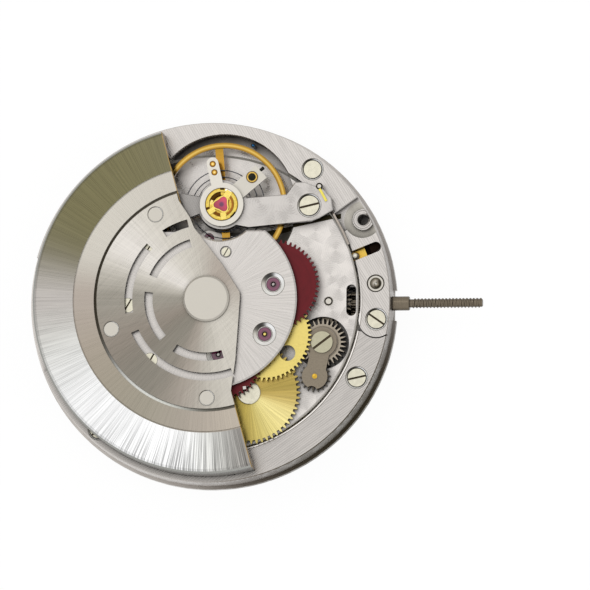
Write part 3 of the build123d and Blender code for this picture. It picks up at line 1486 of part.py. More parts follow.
def make_winding_pinion():
    with BuildPart() as winding_pinion:
        points = tooth_points(crown_module, winding_pinion_teeth, winding_pinion_turn, fine_tooth_shares)
        with BuildSketch(Plane(origin=(winding_pinion_inner, 0, stem_height), z_dir=(1, 0, 0))) as outline:
            with BuildLine():
                Polyline(*points, close=True)
            make_face()
        extrude(outline.sketch, amount=winding_pinion_outer - winding_pinion_inner)
        rod(winding_pinion_inner, winding_pinion_outer, stem_radius + pivot_gap, Mode.SUBTRACT)
    return winding_pinion.part


winding_pinion_turn = 0.0


def make_sliding_pinion():
    with BuildPart() as sliding_pinion:
        outer = winding_pinion_inner - pivot_gap
        rod(sliding_pinion_inner, outer, sliding_pinion_radius)
        rod(pinion_groove_start, pinion_groove_end, sliding_pinion_radius, Mode.SUBTRACT)
        rod(pinion_groove_start, pinion_groove_end, sliding_groove_radius)
        square_rod(sliding_pinion_inner, outer, stem_square_side + 2 * pivot_gap, Mode.SUBTRACT)
    return sliding_pinion.part


yoke_finger_radius = 0.10
lever_width = 0.44


def make_setting_lever():
    with BuildPart() as setting_lever:
        low = date_ring_top + 2 * axial_gap
        high = motion_pocket_depth - running_gap
        bar(setting_lever_pivot, nose_place, lever_width, low, high)
        post(nose_place, low, stem_height - stem_neck_radius - running_gap, nose_radius)
    return setting_lever.part


def make_setting_yoke():
    finger = (pinion_groove_start + (pinion_groove_end - pinion_groove_start) / 2, 0.0)
    with BuildPart() as setting_yoke:
        low = date_ring_top + 2 * axial_gap
        high = motion_pocket_depth - running_gap
        bar(yoke_pivot, finger, lever_width / 2, low, high)
        post(yoke_pivot, low, high, 2 * yoke_pivot_radius)
        post(yoke_pivot, low, high, yoke_pivot_radius + pivot_gap, Mode.SUBTRACT)
        post(finger, low, stem_height - sliding_groove_radius - axial_gap, yoke_finger_radius)
    return setting_yoke.part


def make_setting_wheel(centre, turn):
    with BuildPart() as wheel:
        low = motion_wheel_bottom
        gear(centre, low, motion_wheel_top, motion_module, setting_teeth, turn)
        post(centre, low, motion_wheel_top, arbor_body_radius + pivot_gap, Mode.SUBTRACT)
    return wheel.part


def make_setting_wheel_1():
    return make_setting_wheel(first_setting_centre, first_setting_turn)


def make_setting_wheel_2():
    return make_setting_wheel(second_setting_centre, second_setting_turn)


def make_cannon_pinion():
    with BuildPart() as cannon_pinion:
        gear(hand_axis, motion_wheel_bottom, motion_wheel_top, motion_module, cannon_teeth)
        post(hand_axis, -cannon_reach, -hour_pipe_reach - seat_gap, cannon_radius)
        post(hand_axis, -hour_pipe_reach - seat_gap, motion_wheel_top, cannon_waist_radius)
        post(hand_axis, -cannon_reach, motion_wheel_top, seconds_pin_radius + pivot_gap, Mode.SUBTRACT)
    return cannon_pinion.part


def make_minute_wheel():
    with BuildPart() as minute_wheel:
        gear(minute_centre, motion_wheel_bottom, motion_wheel_top, motion_module, minute_teeth, minute_turn)
        gear(minute_centre, hour_wheel_bottom, motion_wheel_bottom, hour_module, minute_pinion_teeth)
        post(
            minute_centre, hour_wheel_bottom, motion_wheel_top,
            arbor_body_radius + pivot_gap, Mode.SUBTRACT,
        )
    return minute_wheel.part


def make_hour_wheel():
    with BuildPart() as hour_wheel:
        gear(hand_axis, hour_wheel_bottom, hour_wheel_top, hour_module, hour_teeth, hour_turn)
        gear(hand_axis, hour_wheel_top, date_wheel_top, date_module, date_pinion_teeth)
        post(hand_axis, -hour_pipe_reach, hour_wheel_top, hour_pipe_radius)
        post(hand_axis, -hour_pipe_reach, date_wheel_top, cannon_radius + pivot_gap, Mode.SUBTRACT)
    return hour_wheel.part


# Date works
date_post_radius = yoke_pivot_radius
jumper_tip_angle = -62.0
jumper_width = 0.30
date_tooth_width_share = 0.30


def make_date_ring():
    with BuildPart() as date_ring:
        collar(hand_axis, date_ring_bottom, date_ring_top, date_ring_outer_radius, date_ring_inner_radius)
        pitch = 2 * pi * date_ring_inner_radius / date_count
        with BuildSketch(level(date_ring_bottom)) as teeth:
            with PolarLocations(date_ring_inner_radius, date_count):
                Rectangle(2 * date_tooth_depth, pitch * date_tooth_width_share)
        extrude(teeth.sketch, amount=date_ring_thickness)
    return date_ring.part


def make_date_idler():
    with BuildPart() as date_idler:
        gear(date_idler_centre, date_wheel_bottom, date_wheel_top, date_module, date_idler_teeth, date_idler_turn)
        post(date_idler_centre, date_wheel_bottom, date_wheel_top, date_post_radius + pivot_gap, Mode.SUBTRACT)
    return date_idler.part


def make_date_driving_wheel():
    with BuildPart() as date_driving_wheel:
        gear(date_wheel_centre, date_wheel_bottom, date_wheel_top, date_module, date_wheel_teeth, date_wheel_turn)
        post(date_wheel_centre, date_wheel_bottom, date_wheel_top, date_post_radius + pivot_gap, Mode.SUBTRACT)
    return date_driving_wheel.part


def make_date_guard_plate():
    with BuildPart() as date_guard_plate:
        collar(
            hand_axis, guard_plate_bottom, guard_plate_top,
            guard_plate_radius, guard_hole_radius,
        )
        for place in guard_posts:
            post(place, guard_plate_bottom, guard_plate_top, pin_radius + seat_gap, Mode.SUBTRACT)
    return date_guard_plate.part


def make_date_jumper():
    tip = polar(hand_axis, date_ring_inner_radius - date_tooth_depth - axial_gap - jumper_width / 2, jumper_tip_angle)
    with BuildPart() as date_jumper:
        bar(date_jumper_pivot, tip, jumper_width, date_ring_bottom, date_ring_top)
        post(date_jumper_pivot, date_ring_bottom, date_ring_top, 2 * date_post_radius)
        post(date_jumper_pivot, date_ring_bottom, date_ring_top, date_post_radius + pivot_gap, Mode.SUBTRACT)
    return date_jumper.part


# Click
click_tip_reach = 4.20
click_angle = 187.0
click_radius = 0.75
click_width = 0.55
click_spring_start = (-5.30, -9.20)
click_spring_width = 0.14


def make_click():
    with BuildPart() as click:
        tip = polar(barrel_centre, click_tip_reach + click_width / 2, click_angle)
        bar(click_pivot, tip, click_width, ratchet_bottom, ratchet_top)
        post(click_pivot, ratchet_bottom, ratchet_top, click_radius)
        post(click_pivot, ratchet_bottom, ratchet_top, pin_radius + pivot_gap, Mode.SUBTRACT)
    return click.part


def make_click_spring():
    with BuildPart() as click_spring:
        end = polar(click_pivot, click_radius + click_spring_width, 160)
        bar(click_spring_start, end, click_spring_width, ratchet_bottom, ratchet_top)
        post(click_spring_start, train_top, ratchet_top, click_width)
    return click_spring.part


# Stop lever and its wire


def make_stop_lever():
    with BuildPart() as stop_lever:
        high = stop_lever_top
        direction = heading(stop_pivot, stop_slot_end)
        with BuildSketch(level(high - stop_lever_thickness, stop_pivot)) as plate:
            Circle(stop_slot_width / 2 - running_gap)
        extrude(plate.sketch, amount=stop_lever_thickness)
        with BuildSketch(level(high - stop_lever_thickness, polar(stop_pivot, stop_lever_length / 2, direction))) as tongue:
            Rectangle(stop_lever_length, stop_slot_width - 2 * running_gap, rotation=direction)
        extrude(tongue.sketch, amount=stop_lever_thickness)
        post(stop_pivot, stop_lever_floor + axial_gap, ring_top - axial_gap, stop_pin_radius)
    return stop_lever.part


def make_release_pusher():
    with BuildPart() as release_pusher:
        head_bottom = pusher_floor + release_travel + running_gap
        post(setting_lever_pivot, head_bottom, ring_top - running_gap, release_radius)
        post(setting_lever_pivot, motion_pocket_depth + release_travel, head_bottom, pusher_shaft_radius)
        with Locations((setting_lever_pivot[0], setting_lever_pivot[1], ring_top - running_gap)):
            Cone(
                0, release_radius * dimple_radius_share, release_radius * dimple_depth_share,
                mode=Mode.SUBTRACT, align=(Align.CENTER, Align.CENTER, Align.MAX),
            )
    return release_pusher.part


# Fasteners and jewels
head_slot_turns = (12, 40, 75, -35)
train_slot_turn = 20
balance_slot_turn = 13
auto_slot_turn = 60
crown_slot_turn = 37


def make_screws():
    with BuildPart() as screws:
        seat = train_top - head_height
        for place in train_screws:
            screw(
                place, seat, bridge_screw_head, head_height, bridge_screw_shank, screw_depth, train_slot_turn,
            )
        seat = ring_top - head_height
        for place, angle in zip(ring_screws, head_slot_turns):
            screw(place, seat, bridge_screw_head, head_height, bridge_screw_shank, screw_depth, angle)
        post(ring_cap_place, seat, seat + head_height, ring_cap_radius)
        seat = balance_bridge_top - head_height
        depth = seat - bridge_seat_height + screw_depth - axial_gap
        for place in (balance_screw, balance_left_screw):
            screw(
                place, seat, balance_screw_head, head_height, bridge_screw_shank, depth, balance_slot_turn,
            )
        seat = auto_bridge_top - head_height
        depth = seat - bridge_seat_height - axial_gap
        for place in auto_screws:
            screw(place, seat, auto_screw_head, head_height, auto_screw_shank, depth, auto_slot_turn)
        screw(
            auto_small_screw, seat, small_screw_radius, head_height, pivot_radius, axial_gap, auto_slot_turn,
        )
        seat = crown_top + 2 * seat_gap + crown_yoke_thickness
        screw(
            crown_centre, seat, crown_screw_head, crown_screw_height,
            crown_screw_shank, crown_top - crown_floor + screw_depth / 2, crown_slot_turn,
        )
    return screws.part


def make_pins():
    with BuildPart() as pins:
        post(click_pivot, bridge_seat_height, ratchet_top + seat_gap, pin_radius)
        post(balance_pin_place, balance_bridge_bottom, balance_bridge_top + seat_gap, pin_radius)
        for place in pallet_bridge_feet:
            post(place, train_floor + axial_gap, pallet_bridge_top, pin_radius)
        for place in guard_posts:
            post(place, guard_plate_bottom, date_pocket_depth, pin_radius)
        # Stud that carries the transfer wheel
        flange = transfer_bottom - running_gap
        post(transfer_centre, flange, train_top, transfer_stud_radius)
        post(transfer_centre, flange - axial_gap / 2, flange, transfer_stud_radius + 2 * running_gap)
    return pins.part


def make_jewels():
    with BuildPart() as jewels:
        for centre in (great_centre, third_centre, hand_axis, first_reverser, relay_centre):
            jewel(centre, bridge_seat_height, train_top, train_jewel_radius, pivot_radius + pivot_gap)
        for centre in (escape_centre, pallet_centre):
            jewel(centre, pallet_bridge_bottom, pallet_bridge_top, small_jewel_radius, pivot_radius + pivot_gap)
        for centre in (first_reverser, second_reverser, relay_centre):
            jewel(
                centre, auto_bridge_bottom, auto_bridge_top - jewel_sink_depth,
                train_jewel_radius, pivot_radius + pivot_gap,
            )
        low = shock_top - shock_dish_depth
        post(balance_centre, low, low + shock_dish_depth / 2, cap_jewel_radius)
    return jewels.part


pieces = (
    make_main_plate, make_train_bridge, make_upper_ring, make_lower_ring, make_stem_cover_plate,
    make_pallet_bridge, make_balance_bridge, make_auto_bridge, make_auto_lower_plate,
    make_barrel_drum, make_barrel_arbor, make_mainspring, make_ratchet_wheel, make_ratchet_screw,
    make_great_wheel, make_third_wheel, make_seconds_wheel, make_escape_wheel, make_pallet_fork,
    make_balance_wheel, make_balance_staff, make_hairspring, make_regulator_arm, make_stud_carrier,
    make_shock_setting, make_reversing_wheel_1, make_reversing_wheel_2, make_reversing_pinion_1,
    make_reversing_pinion_2, make_relay_wheel, make_rotor_hub, make_rotor_plate, make_rotor_weight,
    make_rotor_rivets, make_crown_wheel, make_crown_yoke, make_idler_wheel, make_transfer_wheel,
    make_winding_stem, make_winding_pinion, make_sliding_pinion, make_setting_lever, make_setting_yoke,
    make_setting_wheel_1, make_setting_wheel_2, make_cannon_pinion, make_minute_wheel, make_hour_wheel,
    make_date_ring, make_date_idler, make_date_driving_wheel, make_date_guard_plate, make_date_jumper,
    make_click, make_click_spring, make_stop_lever, make_release_pusher, make_screws, make_pins, make_jewels,
)


os.makedirs("parts", exist_ok=True)
for make in pieces:
    name = make.__name__.removeprefix("make_")
    piece = make()
    piece.label = name
    export_step(piece, f"parts/{name}.step")
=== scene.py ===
from math import cos, pi, radians, sin

import bmesh
import bpy
from bpy.props import FloatProperty, FloatVectorProperty, PointerProperty
from bpy.types import Operator, Panel, PropertyGroup
from mathutils import Matrix, Vector


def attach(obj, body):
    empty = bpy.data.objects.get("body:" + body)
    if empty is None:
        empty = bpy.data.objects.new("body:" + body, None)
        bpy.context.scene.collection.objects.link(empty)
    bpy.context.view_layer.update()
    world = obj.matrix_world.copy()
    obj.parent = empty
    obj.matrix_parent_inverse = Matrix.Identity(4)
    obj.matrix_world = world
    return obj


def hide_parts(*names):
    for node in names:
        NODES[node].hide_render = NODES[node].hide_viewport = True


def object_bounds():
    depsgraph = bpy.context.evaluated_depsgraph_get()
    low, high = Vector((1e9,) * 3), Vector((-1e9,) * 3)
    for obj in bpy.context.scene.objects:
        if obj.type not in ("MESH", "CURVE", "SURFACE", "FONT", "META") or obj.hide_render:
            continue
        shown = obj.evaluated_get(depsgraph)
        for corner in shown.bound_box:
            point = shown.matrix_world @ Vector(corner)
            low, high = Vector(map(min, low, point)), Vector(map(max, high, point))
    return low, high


bl_info = {
    "name": "Automatic Watch Movement",
    "version": (1, 0, 0),
    "blender": (4, 5, 0),
    "location": "View3D > Sidebar > Movement",
    "description": "Finishes and small pieces of an automatic watch movement",
    "category": "Object",
}

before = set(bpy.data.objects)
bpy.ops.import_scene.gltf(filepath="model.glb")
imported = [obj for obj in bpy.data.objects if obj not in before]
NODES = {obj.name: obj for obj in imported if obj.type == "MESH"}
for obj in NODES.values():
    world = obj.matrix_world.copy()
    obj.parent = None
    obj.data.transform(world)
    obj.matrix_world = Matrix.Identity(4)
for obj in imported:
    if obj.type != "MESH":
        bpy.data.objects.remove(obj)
cad_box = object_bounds()

MM = 0.001
UP = Vector((0.0, 0.0, 1.0))
FULL_TURN = 2 * pi


def around(centre, turn, out, *height):
    """The point at a direction in radians and a distance from a centre."""
    return (centre[0] + out * cos(turn), centre[1] + out * sin(turn), *height)


# Centres and heights, in millimetres in the shared frame
HAND_AXIS = (0.0, 0.0)
BALANCE_AXIS = (1.0, 7.5)
BARREL_AXIS = (3.168, -7.15)
RELAY_AXIS = (4.512, -2.727)
REVERSER_AXES = ((5.146, 1.161), (0.896, -4.288))
STONE_AXES = (*REVERSER_AXES, RELAY_AXIS)
CROWN_AXIS = (8.86, -3.26)
IDLER_AXIS = (8.306, -5.912)
STUD_AXIS = (3.34, 9.63)
PUSHER_AXIS = (12.91, 1.4)
STOP_PIVOT = (11.26, 3.6)
STOP_SLOT = (12.08, 3.925)
STOP_SLOT_WAY = (0.93, 0.368)
CLAMP_HOLE = (11.85, 6.4)
BLUE_PIN = (3.21, 12.27)
BALANCE_SCREW = (7.8, 7.4)
UPPER_SCREW = (-10.6, 7.6)
COVER_SCREW = (13.0, -1.4)
EDGE_SCREW = (11.5, -5.95)
LOW_SCREW = (-8.6, -9.8)
RING_CAP = (7.9, 10.35)
RIVETS = tuple(around(HAND_AXIS, radians(turn), 7.75) for turn in (121.3, 197.3, 270.8))
REGULATOR_PINS = ((0.28, 10.65), (0.42, 10.0))
RINGED_PINS = (((9.273, 0.0), 0.22, 0.34), ((8.57, 8.9), 0.15, 0.26))
STEM_HEIGHT = 1.65
THREAD_START, THREAD_LENGTH, THREAD_CREST = 15.62, 5.36, 0.39
LYRE_HEIGHT = 4.475
SLOT_FLOORS = (3.24, 2.99, 3.96, 4.84, 3.865)
RING_INNER = 11.7
WELL_RADIUS = 5.75
STONE_RADIUS = 0.56
PLATE_WALL, RING_WALL = 13.97, 13.98
WEIGHT_RADIUS, RIM_START, BAND_START = 13.6, 10.45, 8.8
WEIGHT_EDGE = radians(105.5)
RELIEF = 0.004
DAYS = 31

# Painted sheen round the seat of a head or a stone, in stops of tones against direction
PAINTED_SEAT_SHEEN = (174, 205, 200, 190), (
    (-120, 245, 245, 240), (-60, 225, 220, 215), (0, 235, 235, 230), (36, 255, 255, 255), (74, 255, 255, 255),
    (92, 50, 45, 35), (112, 30, 25, 20), (132, 30, 25, 20), (156, 100, 95, 85),
)


def tone(*shade):
    """A colour as the eye reads it, 0 to 255, turned into light values."""
    parts = [value / 255 for value in shade]
    return tuple(part / 12.92 if part <= 0.04045 else ((part + 0.055) / 1.055) ** 2.4 for part in parts)


def scaled(shade, factor):
    """A tone made lighter or darker by a factor."""
    return tuple(min(part * factor, 1.0) for part in shade)


# Node trees

def operation(name):
    """A method that adds a math node of this kind."""
    return lambda value, *others: value.nodes.math(name, value, *others)


class Value:
    """A number in a node tree: arithmetic on it adds math nodes, and a comparison gives 1 or 0."""

    def __init__(self, nodes, socket):
        self.nodes = nodes
        self.socket = socket

    __add__ = operation("ADD")
    __sub__ = operation("SUBTRACT")
    __mul__ = operation("MULTIPLY")
    __truediv__ = operation("DIVIDE")
    __lt__ = operation("LESS_THAN")
    __gt__ = operation("GREATER_THAN")
    __abs__ = operation("ABSOLUTE")
    near = operation("COMPARE")
    most = operation("MAXIMUM")
    sine = operation("SINE")
    fraction = operation("FRACT")
    bearing = operation("ARCTAN2")

    def toward(self, other, share):
        """This number, carried by a share of the way to another."""
        return (other - self) * share + self


class Nodes:
    """A node tree that is built from empty."""

    def __init__(self, tree):
        self.tree = tree
        tree.nodes.clear()

    def node(self, kind, inputs=(), **settings):
        """A node with its settings and with its inputs, each a value or a link."""
        made = self.tree.nodes.new(kind)
        for key, value in settings.items():
            setattr(made, key, value)
        self.fill(made, dict(inputs))
        return made

    def fill(self, node, inputs):
        for key, value in inputs.items():
            socket = node.inputs[key]
            value = getattr(value, "socket", value)
            if isinstance(value, bpy.types.NodeSocket):
                self.tree.links.new(value, socket)
            elif socket.type == "RGBA":
                socket.default_value = (*value[:3], 1.0)
            else:
                socket.default_value = value

    def value(self, *given, **settings):
        """The first output of a node, as a number that arithmetic works on."""
        return Value(self, self.node(*given, **settings).outputs[0])

    def math(self, kind, *values):
        return self.value("ShaderNodeMath", enumerate(values), operation=kind)


class Look(Nodes):
    """A metal, enamel or stone look, built from its grain up."""

    def __init__(self, name):
        self.material = bpy.data.materials.get(name) or bpy.data.materials.new(name)
        self.material.use_nodes = True
        super().__init__(self.material.node_tree)
        self.shader = self.node("ShaderNodeBsdfPrincipled")
        self.node("ShaderNodeOutputMaterial", {0: self.shader.outputs[0]})
        # One where a surface has no metal shine
        self.plain = 0.0

    def place(self, centre=HAND_AXIS, turn=0.0, size=(1.0, 1.0, 1.0)):
        """Object coordinates about a centre, turned, in cells of a size in millimetres."""
        return self.node("ShaderNodeMapping", {
            "Vector": self.node("ShaderNodeTexCoord").outputs["Object"],
            "Location": (centre[0] * MM, centre[1] * MM, 0.0),
            "Rotation": (0.0, 0.0, radians(turn)),
            "Scale": tuple(part * MM for part in size),
        }, vector_type="TEXTURE").outputs[0]

    def split(self, vector):
        return [Value(self, part) for part in self.node("ShaderNodeSeparateXYZ", {0: vector}).outputs]

    def join(self, x, y, z=0.0):
        return self.node("ShaderNodeCombineXYZ", {0: x, 1: y, 2: z}).outputs[0]

    def vector(self, kind, first, second=(0.0, 0.0, 0.0)):
        return self.node("ShaderNodeVectorMath", {0: first, 1: second}, operation=kind).outputs

    def distance(self, x, y):
        return Value(self, self.vector("LENGTH", self.join(x, y))["Value"])

    def about(self, centre=HAND_AXIS):
        """x, y, distance and direction from a centre, in millimetres and radians."""
        x, y = self.split(self.place(centre))[:2]
        return x, y, self.distance(x, y), y.bearing(x)

    def noise(self, vector, detail=2.0):
        return self.value("ShaderNodeTexNoise", {"Vector": vector, "Scale": 1.0, "Detail": detail})

    def cloud(self, size, detail=2.0):
        return self.noise(self.place(size=(size, size, size)), detail)

    def lines(self, turn, pitch, run=2.5):
        """Straight grain: long scratches a pitch apart."""
        return self.noise(self.place(turn=turn, size=(run, pitch, run)), 3.0)

    def scratches(self, centre, count, run):
        """Noise against direction and distance from a centre, with no seam."""
        x, y, out = self.about(centre)[:3]
        x, y = self.split(self.vector("NORMALIZE", self.join(x, y))[0])[:2]
        return self.noise(self.join(x * count, y * count, out / run), 3.0)

    def rays(self, pitch, at_radius, run=3.0, centre=HAND_AXIS):
        """Scratches that run out from a centre."""
        return self.scratches(centre, at_radius / pitch, run)

    def rings(self, centre, pitch):
        """Scratches that run round a centre."""
        return self.scratches(centre, 3.0, pitch)

    def hatch(self, turn, pitch):
        """Fine even lines, a little unsteady, as an engine-turned edge has."""
        y = self.split(self.place(turn=turn))[1]
        sway = self.noise(self.place(turn=turn, size=(3.0, 0.6, 3.0)))
        wave = (y * (FULL_TURN / pitch) + sway * 5.0).sine()
        return wave * 0.18 + self.lines(turn, pitch * 0.8, 2.0)

    def spots(self, size, ring_pitch):
        """Overlapping polished spots, each with its own fine rings and a soft painted sheen of light across it."""
        about = self.place(size=(size, size, size * 40))
        cells = self.node(
            "ShaderNodeTexVoronoi", {"Vector": about, "Scale": 1.0, "Randomness": 0.7}, voronoi_dimensions="2D",
        ).outputs
        x, y = self.split(self.vector("SUBTRACT", about, cells["Position"])[0])[:2]
        away = self.distance(x, y)
        rings = (away * (size / ring_pitch * FULL_TURN)).sine()
        # Painted sheen: light and dark swing round each spot
        painted_sheen = (y.bearing(x) * 2.0 + self.split(cells["Color"])[0] * 2.4).sine()
        spot = rings * 0.06 + painted_sheen * 0.17 + (away * 1.6 - 0.45) * 0.13
        return spot + self.cloud(0.16) * 0.3 + self.cloud(1.3, 3.0) * 0.5 + 0.1

    def ramp(self, value, stops, blend="LINEAR"):
        """A tone against a value from 0 to 1, stops of (value, red, green, blue)."""
        made = self.node("ShaderNodeValToRGB", {0: value})
        made.color_ramp.interpolation = blend
        places = made.color_ramp.elements
        for index, (spot, *shade) in enumerate(stops):
            here = places[index] if index < 2 else places.new(spot)
            here.position = spot
            here.color = (*tone(*shade), 1.0)
        return made.outputs["Color"]

    def painted_sheen(self, seam, stops, centre=HAND_AXIS):
        """A broad painted sheen of brushed metal, tones against direction: stops of (degrees, red, green, blue), the
        seam's held from there to 180.
        """
        ends = [(turn, *seam[1:]) for turn in sorted({seam[0], 180})]
        stops = [*((-turn, *shade) for turn, *shade in reversed(ends)), *stops, *ends]
        share = self.about(centre)[3] / FULL_TURN + 0.5
        return self.ramp(share, [((turn + 180) / 360, *shade) for turn, *shade in stops], "B_SPLINE")

    def turned(self, centre, stops):
        """A tone against distance from a centre, stops of (millimetres, red, green, blue)."""
        low, high = stops[0][0], stops[-1][0]
        share = self.spread(self.about(centre)[2], 0.0, 1.0, low, high)
        return self.ramp(share, [((at - low) / (high - low), *shade) for at, *shade in stops])

    def tinted(self, base, factor):
        """A base tone made lighter or darker by a number."""
        return self.mix(1.0, base, self.join(factor, factor, factor), "MULTIPLY")

    def mix(self, share, first, second, blend="MIX"):
        made = self.node("ShaderNodeMix", {0: share, 6: first, 7: second}, data_type="RGBA", blend_type=blend)
        return made.outputs[2]

    def spread(self, value, low, high, from_low=0.3, from_high=0.7):
        """A number carried from one range to another."""
        return self.value("ShaderNodeMapRange", {
            "Value": value, "From Min": from_low, "From Max": from_high, "To Min": low, "To Max": high,
        })

    def disc(self, at, reach):
        """One inside a round spot seen from above, nought outside."""
        return self.about(at)[2] < reach

    def seats(self, base, places):
        """Bevels round heads and stones with a painted sheen: painted shade to the upper left, a painted highlight
        beside it, with thin rims.
        """
        for at, inner, outer in places:
            out = self.about(at)[2]
            inside = (out > inner) * (out < outer)
            self.plain = inside + self.plain
            base = self.mix(inside, base, self.painted_sheen(*PAINTED_SEAT_SHEEN, at))
            for rim in (inner, outer):
                base = self.mix(out.near(rim, 0.018), base, tone(85, 80, 70))
        return base

    def edged(self, base, start):
        """The turned outer wall with painted light: a painted highlight to the upper left, painted shade and bands
        to the lower right.
        """
        # Painted sheen of the wall, tones against direction
        skin = self.painted_sheen((172, 200, 195, 190), (
            (-130, 210, 205, 200), (-98, 190, 185, 180), (-78, 110, 100, 90), (-48, 75, 70, 55), (-20, 85, 75, 60),
            (-4, 150, 145, 140), (30, 180, 175, 170), (60, 200, 195, 190),
        ))
        ridges = (self.split(self.place())[2] * (FULL_TURN / 0.62)).sine()
        skin = self.tinted(skin, self.spread(ridges, 0.9, 1.08, -1.0, 1.0))
        return self.mix(self.about()[2] > start, base, skin)

    def lipped(self, base):
        """A painted highlight on the bevel along the inner edge of a ring, toward its lower side, closed by a thin
        dark line.
        """
        y, out = self.about()[1:3]
        low = self.spread(y, 0.0, 1.0, 3.0, -3.0)
        # Painted highlight and dark line, only toward the lower side
        base = self.mix((out < RING_INNER + 0.14) * low, base, tone(245, 240, 235))
        return self.mix(out.near(RING_INNER + 0.17, 0.025) * low, base, tone(115, 110, 100))

    def close(self, base, grain, rough, tints=None, dark=(0.6, 0.3, 0.3), spread=0.08, metal=1.0,
              relief=0.25, coat=0.0, after=None, last=None):
        """The steps that every finish shares: tints from the grain, touches under and over the painted shade.

        dark is the painted shadow's depth and its reach in millimetres, then the tone of the painted shade on
        upright faces.
        """
        depth, reach, wall = dark
        if tints:
            base = self.tinted(base, self.spread(grain, *tints))
        if after:
            base = after(self, base)
        # Painted shade: upright faces are made darker
        across = self.split(self.node("ShaderNodeTexCoord").outputs["Normal"])[2]
        base = self.tinted(base, self.spread(abs(across), wall, 1.0, 0.15, 0.93))
        # Painted shade: darker in wells, slots and between teeth, by ambient occlusion
        near = self.node("ShaderNodeAmbientOcclusion", {"Distance": reach * MM}, samples=6).outputs["AO"]
        base = self.tinted(base, self.spread(near, 1.0 - depth, 1.0, 0.25, 0.97))
        if last:
            base = last(self, base)
        bump = self.node("ShaderNodeBump", {"Height": grain, "Strength": relief, "Distance": RELIEF * MM})
        self.fill(self.shader, {
            "Base Color": base, "Metallic": self.plain * -metal + metal, "Coat Weight": coat,
            "Coat Roughness": 0.08, "Roughness": self.spread(grain, max(rough - spread, 0.02), rough + spread),
            "Normal": bump.outputs[0],
        })
        return self.material


def seated(*places):
    """A last touch: seats at places of (centre, inner radius, outer radius), in millimetres."""
    return lambda look, base: look.seats(base, places)


def grained(name, shade, contrast, rough, grain, **more):
    """A metal whose tone follows its grain; shade is a tone or, like grain, a function of the look."""
    look = Look(name)
    base = shade(look) if callable(shade) else shade
    return look.close(base, grain(look), rough, (1 - contrast, 1 + contrast), **more)


def satin(name, shade, rough, contrast, grit=0.12, **more):
    """A finely frosted metal."""
    return grained(name, shade, contrast, rough, lambda look: look.cloud(grit, 3.0), **more)


def dress(material, *names):
    """Gives a finish to CAD nodes."""
    for name in names:
        for slot in NODES[name].material_slots:
            slot.material = material


# Meshes

def add_object(name, data):
    made = bpy.data.objects.new(name, data)
    bpy.context.scene.collection.objects.link(made)
    return made


def new_piece(name, mesh, material, body):
    """A finished piece at the origin that rides on a body."""
    piece = add_object(name, mesh)
    mesh.materials.clear()
    mesh.materials.append(material)
    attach(piece, body)
    return piece


def mesh_from(name, build):
    """A mesh filled by a function that works on a bmesh in millimetres."""
    work = bmesh.new()
    build(work)
    bmesh.ops.remove_doubles(work, verts=work.verts, dist=0.0004)
    bmesh.ops.recalc_face_normals(work, faces=work.faces)
    work.transform(Matrix.Scale(MM, 4))
    mesh = bpy.data.meshes.new(name)
    work.to_mesh(mesh)
    work.free()
    mesh.set_sharp_from_angle(angle=radians(30))
    for face in mesh.polygons:
        face.use_smooth = True
    return mesh


def turns(count):
    return [FULL_TURN * step / count for step in range(count)]


def skin(work, rings, looped=False):
    """Quads between rings of points, with a face at each end unless the last ring meets the first."""
    rings = [[work.verts.new(point) for point in ring] for ring in rings]
    for low, high in zip(rings, rings[1:] + rings[:looped]):
        for step in range(len(low)):
            after = (step + 1) % len(low)
            work.faces.new((low[step], low[after], high[after], high[step]))
    if not looped:
        work.faces.new(list(reversed(rings[0])))
        work.faces.new(rings[-1])


def turned(work, profile, start, way, sides=64):
    """Turns a profile of (along, radius) about an axis, closed at both ends."""
    start = Vector(start).to_3d()
    way = Vector(way).normalized()
    side = way.orthogonal().normalized()
    over = way.cross(side)
    outward = [side * cos(turn) + over * sin(turn) for turn in turns(sides)]
    skin(work, [[start + way * along + out * radius for out in outward] for along, radius in profile])


def strip(work, points, width, thickness):
    """A blade that lies flat along points."""
    points = [Vector(point) for point in points]
    rise = UP * thickness / 2
    sections = []
    for before, point, after in zip([points[0], *points], points, [*points[1:], points[-1]]):
        side = (after - before).normalized().cross(UP).normalized() * width / 2
        sections.append([point + side + rise, point - side + rise, point - side - rise, point + side - rise])
    skin(work, sections)


def block(work, centre, size, turn=0.0):
    """A box of a size, turned about its upright axis by degrees."""
    made = bmesh.ops.create_cube(work, size=1.0)
    fit = Matrix.Translation(centre) @ Matrix.Rotation(radians(turn), 4, "Z") @ Matrix.Diagonal((*size, 1.0))
    bmesh.ops.transform(work, matrix=fit, verts=made["verts"])


def smooth_path(points, steps=6):
    """Points along a soft curve through the given ones."""
    points = [Vector(point) for point in points]
    ends = [points[0], *points, points[-1]]
    out = []
    for before, start, end, after in zip(ends, ends[1:], ends[2:], ends[3:]):
        for t in (step / steps for step in range(steps)):
            out.append(0.5 * (
                2 * start + (end - before) * t
                + (2 * before - 5 * start + 4 * end - after) * t * t
                + (3 * start - before - 3 * end + after) * t * t * t
            ))
    return [*out, points[-1]]


def grown(name, tree, sizes):
    """Runs a Geometry Nodes tree once and keeps its result as a plain mesh."""
    holder = add_object(name + "_holder", bpy.data.meshes.new(name + "_holder"))
    growth = holder.modifiers.new("growth", "NODES")
    growth.node_group = tree
    for item in tree.interface.items_tree:
        if item.in_out == "INPUT" and item.name in sizes:
            growth[item.identifier] = sizes[item.name]
    bpy.context.view_layer.update()
    seen = holder.evaluated_get(bpy.context.evaluated_depsgraph_get())
    mesh = bpy.data.meshes.new_from_object(seen)
    mesh.name = name
    if not mesh.polygons:
        raise RuntimeError(f"{name} came out empty")
    for face in mesh.polygons:
        face.use_smooth = True
    mesh.set_sharp_from_angle(angle=radians(40))
    bpy.data.objects.remove(holder)
    return mesh


# Settings

